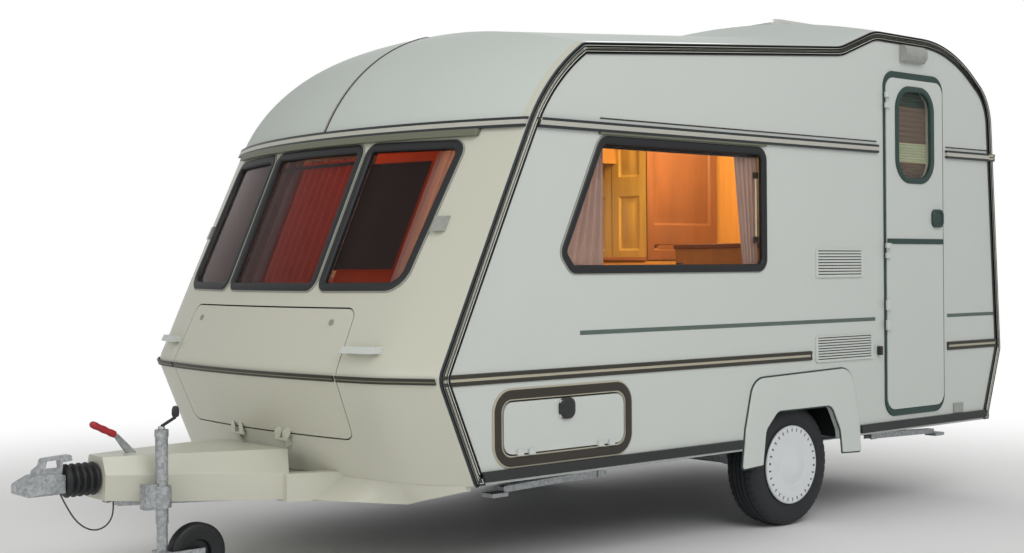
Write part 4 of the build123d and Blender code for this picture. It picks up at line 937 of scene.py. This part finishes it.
def cushion(name, low, high):
    low, high = Vector(low), Vector(high)
    middle, half = (low + high) / 2, (high - low) / 2
    thin = min(range(3), key=lambda k: half[k])
    verts, faces, index = [], [], {}
    for axis in range(3):
        for sign in (-1, 1):
            ids = []
            for i in range(CUSHION_STEPS + 1):
                for j in range(CUSHION_STEPS + 1):
                    unit = [0.0, 0.0, 0.0]
                    unit[axis] = float(sign)
                    unit[(axis + 1) % 3] = -1 + 2 * i / CUSHION_STEPS
                    unit[(axis + 2) % 3] = -1 + 2 * j / CUSHION_STEPS
                    key = tuple(round(c, 4) for c in unit)
                    if key not in index:
                        index[key] = len(verts)
                        spot = Vector([c * h for c, h in zip(unit, half)])
                        rest = [c for k, c in enumerate(unit) if k != thin]
                        swell = (1 - rest[0] ** 4) * (1 - rest[1] ** 4)
                        spot[thin] *= 1 + CROWN / half[thin] * (swell - 1)
                        for k in range(3):
                            if k != thin:
                                spot[k] *= 1 - SIDE_DRAW / half[k] * abs(unit[thin]) ** 3
                        spot[thin] += CREASE * sin(17 * unit[0] + 3) * sin(13 * unit[1] + 1) * swell
                        verts.append(place_at(*(middle + spot)))
                    ids.append(index[key])
            size = CUSHION_STEPS + 1
            faces += [tuple(ids[k] for k in face) for face in quads(size, size, closed=False)]
    obj = made(name, verts, faces, "upholstery", angle=80.0)
    smooth = obj.modifiers.new("round", "SUBSURF")
    smooth.levels = smooth.render_levels = 1
    return obj


WALL_GAP = 0.0005
BENCH_RUNS = ((0.425, 1.12), (1.124, 1.83))
# Kind of cushion, y of its inner edge, z of its foot and head
CUSHIONS = (("seat", 0.465, (0.8455, 0.959)), ("back", INNER_Y - 0.13, (0.9605, 1.164)))


def seating():
    at_wall = INNER_Y - WALL_GAP
    for side, label in SIDES:
        for index, (x0, x1) in enumerate(BENCH_RUNS):
            for kind, edge, (z0, z1) in CUSHIONS:
                y0, y1 = sorted((side * edge, side * at_wall))
                cushion(f"{label}_{kind}_cushion_{index}", (x0, y0, z0), (x1, y1, z1))
    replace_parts(bpy.data.objects["left_seat_cushion_0"], "seat_cushions")


# Raised panel of a cupboard door: how far in from the frame's edge, and how deep
PANEL_RINGS = [(0.0, 0.0), (0.055, 0.0), (0.067, -0.009), (0.0814, -0.009), (0.103, -0.002)]


def panel_door(name, corner, across, up, material, rails_at):
    """A cupboard door: a frame round raised panels, one between each pair of rails."""
    out = across.cross(up).normalized()
    width, along = across.length, across.normalized()
    verts, faces = [], []
    for low, high in zip(rails_at, rails_at[1:]):
        rise = up * (high - low)
        height, start = rise.length, len(verts)
        for inset, deep in PANEL_RINGS:
            for s, t in ((inset, inset), (width - inset, inset), (width - inset, height - inset),
                         (inset, height - inset)):
                verts.append(corner + up * low + along * s + rise / height * t + out * deep)
        faces += quads(len(PANEL_RINGS), 4, closed=False, start=start, tube=True)
        faces.append(tuple(range(len(verts) - 4, len(verts))))
    made(name, verts, faces, material, angle=20.0)


WARDROBE_X, WARDROBE_Y, WARDROBE_Z = (-1.19, -0.59), (-1.03, -0.475), (1.245, 2.14)


def fittings():
    """Wardrobe, worktops, pelmets and window catches, as seen through the glass."""
    (x0, x1), (y0, y1), (base, top) = WARDROBE_X, WARDROBE_Y, WARDROBE_Z
    board("wardrobe", (x0, y0, base), (x1 - 0.02, y1 - 0.02, top), "amber_door")
    width, up = (y1 - y0) / 2, Vector((0, 0, top - base))
    for index in range(2):
        panel_door(f"wardrobe_door_{index}", place_at(x1, y0 + index * width, base),
                   Vector((0, width - 0.004, 0)), up, "yellow_door", (0.0, 0.47, 0.95))
    panel_door("wardrobe_side", place_at(x1 - 0.003, y1, base), Vector((x0 - x1 + 0.01, 0, 0)), up,
               "amber_door", (0.0, 0.16, 0.95))
    board("worktop", (-0.655, 0.49, 1.2905), (0.23, INNER_Y - 0.001, 1.312), "amber_door")
    board("galley_top", (-0.58, -INNER_Y + 0.001, 1.2405), (0.23, -0.47, 1.262), "amber_door")
    board("side_pelmet", (0.25, 1.012, 1.694), (1.28, 1.03, 1.752), "blind")
    board("far_pelmet", (0.25, -1.03, 1.694), (1.28, -1.012, 1.752), "blind")
    for index, z in enumerate((1.615, 1.325)):
        board(f"window_catch_{index}", (0.262, 1.036, z - 0.014), (0.292, 1.046, z + 0.014), "black")
    board("window_catch_low", (0.76, 1.036, 1.2), (0.8, 1.046, 1.222), "black")
    foot, head = (place_at(0.277, 1.041, z) for z in (1.34, 1.6))
    turned_about("window_stay", foot, head, eased(0.26, 0.004), "silver")


# Curtains and blinds, hung behind the bow's lining or the side walls
BOW_INSIDE = 0.0305


def hung(name, point, across, down, material):
    """A sheet from the place of each of its points. Its flat width is measured along its middle row."""
    verts = [point(i / across, j / down) for j in range(down + 1) for i in range(across + 1)]
    row = verts[down // 2 * (across + 1):][:across + 1]
    flat = sum((b - a).length for a, b in zip(row, row[1:]))
    obj = made(name, verts, quads(down + 1, across + 1, closed=False), material, angle=80.0)
    return obj


def drape(name, bottom, top, folds, depth, material, inward):
    """A gathered sheet between two lines, each given by its ends, with folds that swing along inward."""
    def point(u, v):
        wobble = 0.35 * sin(5.1 * u * folds + 2.3) + 0.2 * sin(3.0 * v + 7.0 * u)
        swing = (sin(2 * pi * u * folds + wobble) + 1) / 2
        spot = bottom[0].lerp(bottom[1], u).lerp(top[0].lerp(top[1], u), v)
        return spot + inward * depth * swing * (1 - 0.25 * v)
    height = sum((b - a).length for a, b in zip(bottom, top)) / 2
    hung(name, point, 14 * folds, 24, material)


def bow_cloth(name, y_range, z_range, deep, material, folds=0, swing=0.0, across=40):
    """A blind or a gathered curtain hung a little way behind the bow's skin."""
    def point(u, v):
        wave = sin(2 * pi * folds * u + 0.6 * sin(9 * u + 2)) if folds else 0.0
        y, z = (low + (high - low) * share for (low, high), share in ((y_range, u), (z_range, v)))
        return on_bow(y, z, -BOW_INSIDE - deep - swing * (1 + wave) / 2)
    return hung(name, point, across, 20, material)


# Side curtains: x of both edges at the foot and at the head
SIDE_CURTAINS = (((0.24, 0.335), (0.24, 0.41)), ((1.215, 1.475), (1.215, 1.285)))
CURTAIN_FOOT, CURTAIN_HEAD = 1.165, 1.755


def curtains():
    red = bow_cloth("mid_curtain", (-0.32, 0.3), (1.12, 1.7), 0.03, "red_curtain", 11, 0.03, 180)
    bow_cloth("near_blind", (0.34, 0.68), (1.222, 1.655), 0.012, "blind")
    bow_cloth("near_shade", (0.34, 0.7), (1.1, 1.74), 0.035, "amber_board")
    bow_cloth("near_curtain", (0.685, 0.815), (1.1, 1.735), 0.006, "pale_curtain", 3, 0.02, 60)
    bow_cloth("mid_pelmet", (-0.33, 0.33), (1.655, 1.672), 0.01, "blind")
    # A dark gathered sheet of painted shade over the far part of the middle pane
    bow_cloth("mid_shadow", (-0.4, -0.17), (1.1, 1.74), 0.016, "mid_shade", 2, 0.012, 60)
    bow_cloth("far_blind", (-0.95, -0.41), (1.1, 1.74), 0.004, "blind")
    for side, label in SIDES:
        for index, (foot, head) in enumerate(SIDE_CURTAINS):
            bottom, top = ([place_at(x, side * (INNER_Y - 0.002), z) for x in ends]
                           for ends, z in ((foot, CURTAIN_FOOT), (head, CURTAIN_HEAD)))
            drape(f"{label}_side_curtain_{index}", bottom, top, 5, 0.022, "side_curtain",
                  Vector((0, -side, 0)))
    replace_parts(red, "curtains")


def rectangle(x0, z0, x1, z1, radius):
    return [(x0, z0, radius), (x1, z0, radius), (x1, z1, radius), (x0, z1, radius)]


# Stable door, its seal (x0, z0, x1, z1) and the y of the seal's edges; the leaves' face
DOOR = (-1.168, 0.494, -0.682, 2.133)
DOOR_SEAL = (-1.179, 0.462, -0.671, 2.165)
SEAL_Y = (1.058, 1.067, 1.068, 1.0601)
LEAF_Y = 1.072
# Strips round the side locker, the door's window and its handle: how far in, how proud, which material
LOCKER_RING = [(-0.006, 0.0, 1), (-0.005, 0.004, 1), (0.0, 0.005, 1), (0.001, 0.007, 0), (0.006, 0.009, 0),
               (0.034, 0.009, 0), (0.037, 0.006, 1), (0.041, 0.006, 1), (0.042, 0.0, 0)]
DOOR_PANE_RING = [(-0.002, 0.0, 0), (-0.001, 0.006, 0), (0.006, 0.009, 0), (0.02, 0.009, 0),
                  (0.027, 0.004, 0), (0.028, -0.012, 0)]
DISH_RING = [(0.0, 0.0, 0), (0.0, 0.012, 0), (0.004, 0.016, 0), (0.014, 0.016, 0), (0.018, 0.006, 0)]
# Blinds of the door's window: name, foot, head, material
DOOR_BLINDS = [("top", 2.0, 2.09, "door_seal"), ("pleats", 1.82, 1.999, "door_blind"),
               ("gap", 1.722, 1.819, "blind_gap"), ("foot", 1.63, 1.721, "door_blind")]
BLIND_X, BLIND_Y, PLEATS, PLEAT_DEPTH = (-1.08, -0.763), 1.036, 14, 0.0035


def door_pieces():
    """Seals, window and handle of the stable door, each on the leaf that carries it."""
    verts = []
    for a, b in zip(rounded(rectangle(*DOOR, 0.06), 10), rounded(rectangle(*DOOR_SEAL, 0.08), 10)):
        verts += [place_at(spot.x, y, spot.y) for spot, y in zip((a, a, b, a.lerp(b, 1.1)), SEAL_Y)]
    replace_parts(made("door_seal", verts, quads(len(verts) // 4, 4), "door_seal"), "door_surrounds")
    locker = rounded(rectangle(1.105, 0.442, 1.848, 0.738, 0.087), 10, 0.05)
    strip_round("locker_seal", locker, LOCKER_RING, on_side(1), ["locker_frame", "rail"])
    on_leaf = on_side(1, LEAF_Y)
    outline = rounded(DOOR_WINDOW, 10, 0.05)
    window = strip_round("door_window_seal", outline, DOOR_PANE_RING, on_leaf, "door_seal", "upper_leaf")
    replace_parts(window, "upper_door_window_frame")
    board("door_split_seal", (DOOR[0] + 0.001, 1.0725, 1.311), (DOOR[2] - 0.001, 1.0775, 1.337),
          "door_seal", 0.002, "upper_leaf")
    grip = rounded(rectangle(-1.158, 1.396, -1.064, 1.488, 0.03), 8)
    handle = strip_round("door_handle_dish", grip, DISH_RING, on_leaf, "door_seal", "upper_leaf")
    board("door_handle_lever", (-1.15, 1.0725, 1.404), (-1.072, 1.084, 1.48), "door_seal", 0.006,
          "upper_leaf")
    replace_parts(handle, "door_handle")
    for name, foot, head, key in DOOR_BLINDS:
        verts = []
        for k, z in enumerate(steps(foot, head, PLEATS)):
            verts += [place_at(x, BLIND_Y + PLEAT_DEPTH * (k % 2), z) for x in BLIND_X]
        made("door_blind_" + name, verts, quads(PLEATS + 1, 2, closed=False), key, "upper_leaf", angle=20.0)
    board("door_catch", (-0.627, 1.0605, 0.767), (-0.607, 1.085, 0.811), "black", 0.004)


# Vents on the side: x0, x1, z0, z1, with the slots' height and their distance from the ends
VENTS = [(-0.492, -0.127, 1.15, 1.285), (-0.568, -0.122, 0.753, 0.875)]
VENT_SLATS, SLOT_HEIGHT, SLOT_END = 9, 0.005, 0.0142
TRIM_SLOT = [(0.1495, 1.0135), (0.1725, 1.0135), (0.1725, 1.0146), (0.1495, 1.0146)]


def recesses():
    """Dark sheets of painted shade at the bottom of the vents' slots and of the slots in the wheel trims."""
    verts, faces = [], []
    for x0, x1, z0, z1 in VENTS:
        for index in range(VENT_SLATS):
            z = z0 + (index + 0.9) * (z1 - z0) / (VENT_SLATS + 0.8)
            low = (x0 + SLOT_END, HALF_WIDTH + 0.003, z)
            high = (x1 - SLOT_END, HALF_WIDTH + 0.0045, z + SLOT_HEIGHT)
            slot_verts, slot_faces = box_shape(low, high, len(verts))
            verts += slot_verts
            faces += slot_faces
    made("vent_recess", verts, faces, "vent_shadow", angle=30.0)
    turns = 90
    for side, label in SIDES:
        verts = []
        for k in range(turns):
            angle = 2 * pi * k / turns
            verts += [place_at(r * cos(angle), side * y, TYRE_R + r * sin(angle)) for r, y in TRIM_SLOT]
        made(label + "_trim_recess", verts, quads(turns, 4, tube=True), "vent_shadow", label + "_road_wheel",
             angle=30.0)


LOCKER_CAP = [(-0.002, 0.0, 0), (-0.002, 0.011, 0), (0.004, 0.015, 0), (0.014, 0.0165, 0), (0.03, 0.0165, 0)]
SPAT = [(-0.465, 0.312, 0.012), (-0.322, 0.318, 0.002), (-0.308, 0.424, 0.06), (-0.24, 0.547, 0.06),
        (0.16, 0.547, 0.06), (0.245, 0.467, 0.06), (0.268, 0.311, 0.002), (0.406, 0.304, 0.012),
        (0.383, 0.477, 0.12), (0.325, 0.7, 0.09), (-0.385, 0.717, 0.09), (-0.44, 0.52, 0.12)]
SPAT_LINE = [(-0.007, 0.0003, 0), (-0.006, 0.004, 0), (-0.0005, 0.004, 0), (0.0, 0.0003, 0)]
LID_CATCH = [(0, 0.0125), (0.003, 0.0125), (0.005, 0.0105), (0.0055, 0.004), (0.004, 0.002)]
CATCH_Y, CATCH_Z = 0.505, 0.997


def small_trim():
    """The side locker's handle, the seals round the wheel spats and the gas lid's catches."""
    board("locker_handle_plate", (1.448, 1.078, 0.622), (1.502, 1.084, 0.678), "black", 0.003, "locker_leaf")
    grip = rounded(rectangle(1.436, 0.61, 1.514, 0.69, 0.03), 8)
    strip_round("locker_handle", grip, LOCKER_CAP, on_side(1, 1.067), "black", "locker_leaf")
    for side, label in SIDES:
        strip_round(label + "_spat_seal", rounded(SPAT, 8, 0.05), SPAT_LINE, on_side(side), "door_seal")
        foot, head = (on_bow(side * CATCH_Y, CATCH_Z, proud) for proud in (0.0, 0.01))
        turned_about(label + "_lid_catch", foot, head, LID_CATCH, "grey_plastic", "gas_lid", 28)


# Breakaway cable, by the points of its route, lengths along it counted from the axle
CABLE_D = 0.006
CABLE_ROUTE = [(2.905, 0.050, 0.359), (2.907, 0.062, 0.306), (2.924, 0.078, 0.258), (2.962, 0.084, 0.229),
               (3.006, 0.080, 0.226), (3.046, 0.064, 0.250), (3.078, 0.042, 0.300), (3.100, 0.014, 0.3668)]


def cable():
    curve = bpy.data.curves.new("breakaway_lead", "CURVE")
    curve.dimensions = "3D"
    spline = curve.splines.new("NURBS")
    spline.points.add(len(CABLE_ROUTE) - 1)
    for point, (x, y, z) in zip(spline.points, CABLE_ROUTE):
        point.co = (x + AXLE_X, y, z, 1.0)
    spline.order_u = 3
    spline.use_endpoint_u = True
    spline.resolution_u = 12
    curve.bevel_depth = CABLE_D / 2
    curve.bevel_resolution = 4
    curve.materials.append(materials["cable"])
    obj = linked("breakaway_lead", curve)
    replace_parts(obj, "breakaway_cable")
    start = (CABLE_ROUTE[0][0] + AXLE_X, *CABLE_ROUTE[0][1:])


# Camera, lamps and ground
def camera():
    data = bpy.data.cameras.new("photo_camera")
    data.sensor_width = 36.0
    data.lens = CAMERA_LENS
    data.shift_x, data.shift_y = CAMERA_SHIFT
    forward = Vector((-cos(CAMERA_TURN), -sin(CAMERA_TURN), 0))
    right = Vector((-sin(CAMERA_TURN), cos(CAMERA_TURN), 0))
    up = Vector((0, 0, 1))
    ahead = cos(CAMERA_PITCH) * forward + sin(CAMERA_PITCH) * up
    above = -sin(CAMERA_PITCH) * forward + cos(CAMERA_PITCH) * up
    across = cos(CAMERA_ROLL) * right + sin(CAMERA_ROLL) * above
    above = -sin(CAMERA_ROLL) * right + cos(CAMERA_ROLL) * above
    turn = Matrix((across, above, -ahead)).transposed().to_4x4()
    obj = bpy.data.objects.new("photo_camera", data)
    obj.matrix_world = Matrix.Translation(CAMERA_PLACE) @ turn
    bpy.context.scene.collection.objects.link(obj)
    bpy.context.scene.camera = obj


def area_lamp(name, where, target, size, power, colour=(1, 1, 1)):
    data = bpy.data.lights.new(name, "AREA")
    data.energy = power
    data.color = colour
    data.shape = "RECTANGLE"
    data.size, data.size_y = size
    obj = bpy.data.objects.new(name, data)
    aim = Vector(target) - Vector(where)
    obj.matrix_world = Matrix.Translation(where) @ aim.to_track_quat("-Z", "Y").to_matrix().to_4x4()
    bpy.context.scene.collection.objects.link(obj)


def lights():
    area_lamp("key", (2.0, 6.5, 6.0), (0, 0, 1.0), (5.0, 5.0), 235)
    area_lamp("front_fill", (8.0, 1.0, 3.2), (0, 0, 1.0), (4.0, 3.0), 70, (1.0, 0.97, 0.9))
    area_lamp("back_fill", (-5.0, -6.0, 5.0), (0, 0, 1.0), (5.0, 4.0), 110)
    area_lamp("cabin_lamp", place_at(0.3, 0, 2.1), place_at(0.3, 0, 0), (1.2, 0.5), 14, (1.0, 0.62, 0.28))
    area_lamp("galley_lamp", place_at(-0.55, 0.1, 2.05), place_at(-1.2, -0.3, 1.2), (0.4, 0.4), 22,
              (1.0, 0.72, 0.3))
    area_lamp("bow_lamp", place_at(1.45, 0, 1.95), place_at(1.9, 0, 1.2), (0.7, 0.2), 7, (1.0, 0.45, 0.2))


# World light, how strongly glossy surfaces see the white behind, and where the ground turns white
SKY_LIGHT, GLOSSY_SHARE = 0.42, 0.3
FADE_START, FADE_END = 2.2, 6.0
GROUND_Z, GROUND_RADIUS = -0.0005, 30.0


def surroundings():
    world = bpy.data.worlds.new("studio")
    bpy.context.scene.world = world
    world.use_nodes = True
    tree = world.node_tree
    rays = value_node(tree, "ShaderNodeLightPath").outputs
    seen = math_node(tree, "MAXIMUM", rays["Is Camera Ray"], rays["Is Transmission Ray"])
    seen = math_node(tree, "MAXIMUM", seen, math_node(tree, "MULTIPLY", rays["Is Glossy Ray"], GLOSSY_SHARE))
    background = tree.nodes["Background"]
    background.inputs["Color"].default_value = (1, 1, 1, 1)
    tree.links.new(spread(tree, seen, SKY_LIGHT, 1.0), background.inputs["Strength"])
    mesh = bpy.data.meshes.new("studio_floor")
    bm = bmesh.new()
    bmesh.ops.create_circle(bm, cap_ends=True, segments=64, radius=GROUND_RADIUS)
    bm.to_mesh(mesh)
    bm.free()
    ground = bpy.data.objects.new("studio_floor", mesh)
    ground.location.z = GROUND_Z
    bpy.context.scene.collection.objects.link(ground)
    mat, tree, bsdf = shader("studio_floor")
    tone = mixed(tree, noise(tree, 0.6), (0.93, 0.93, 0.93, 1), (0.96, 0.96, 0.96, 1))
    tree.links.new(tone, bsdf.inputs["Base Color"])
    bsdf.inputs["Roughness"].default_value = 0.8
    away = value_node(tree, "ShaderNodeVectorMath", [("operation", "LENGTH")], [(0, place(tree))])
    inputs = [("Value", away.outputs["Value"]), ("From Min", FADE_START), ("From Max", FADE_END)]
    fade = value_node(tree, "ShaderNodeMapRange", [("interpolation_type", "SMOOTHSTEP")], inputs).outputs[0]
    seen = value_node(tree, "ShaderNodeLightPath").outputs["Is Camera Ray"]
    white = value_node(tree, "ShaderNodeEmission", [], [("Color", (1, 1, 1, 1))])
    blended(tree, math_node(tree, "MULTIPLY", fade, seen), bsdf.outputs[0], white.outputs[0])
    mesh.materials.append(mat)


for key, names in MATERIAL_NODES.items():
    for node_name in names:
        paint(nodes[node_name], key)
bpy.context.scene.view_settings.view_transform = "Standard"
camera()
cable()
awning_rails()
road_tyre(1, "left")
road_tyre(-1, "right")
fuller("front_panel", True)
fuller("gas_locker_lid", True)
for node_name in ("front_skirt", "left_side_wall", "right_side_wall", "grab_handles", "marker_lamps"):
    fuller(node_name)
windows()
rails()
fairing()
leg_covers()
roof_seam()
jockey_gear()
handbrake()
reshaped("jockey_stem", shorter_stem)
reshaped("swing_arms", eased_stub)
seating()
fittings()
curtains()
door_pieces()
small_trim()
recesses()
for node_name, width in (("window_hoods", 0.004), ("rubbing_strips", 0.005), ("side_vents", 0.0015),
                         ("wheel_spats", 0.003), ("coupling_head", 0.002)):
    softened(node_name, width)
for obj in nodes.values():
    if not obj.hide_render:
        smooth_by_angle(obj)
lights()
surroundings()
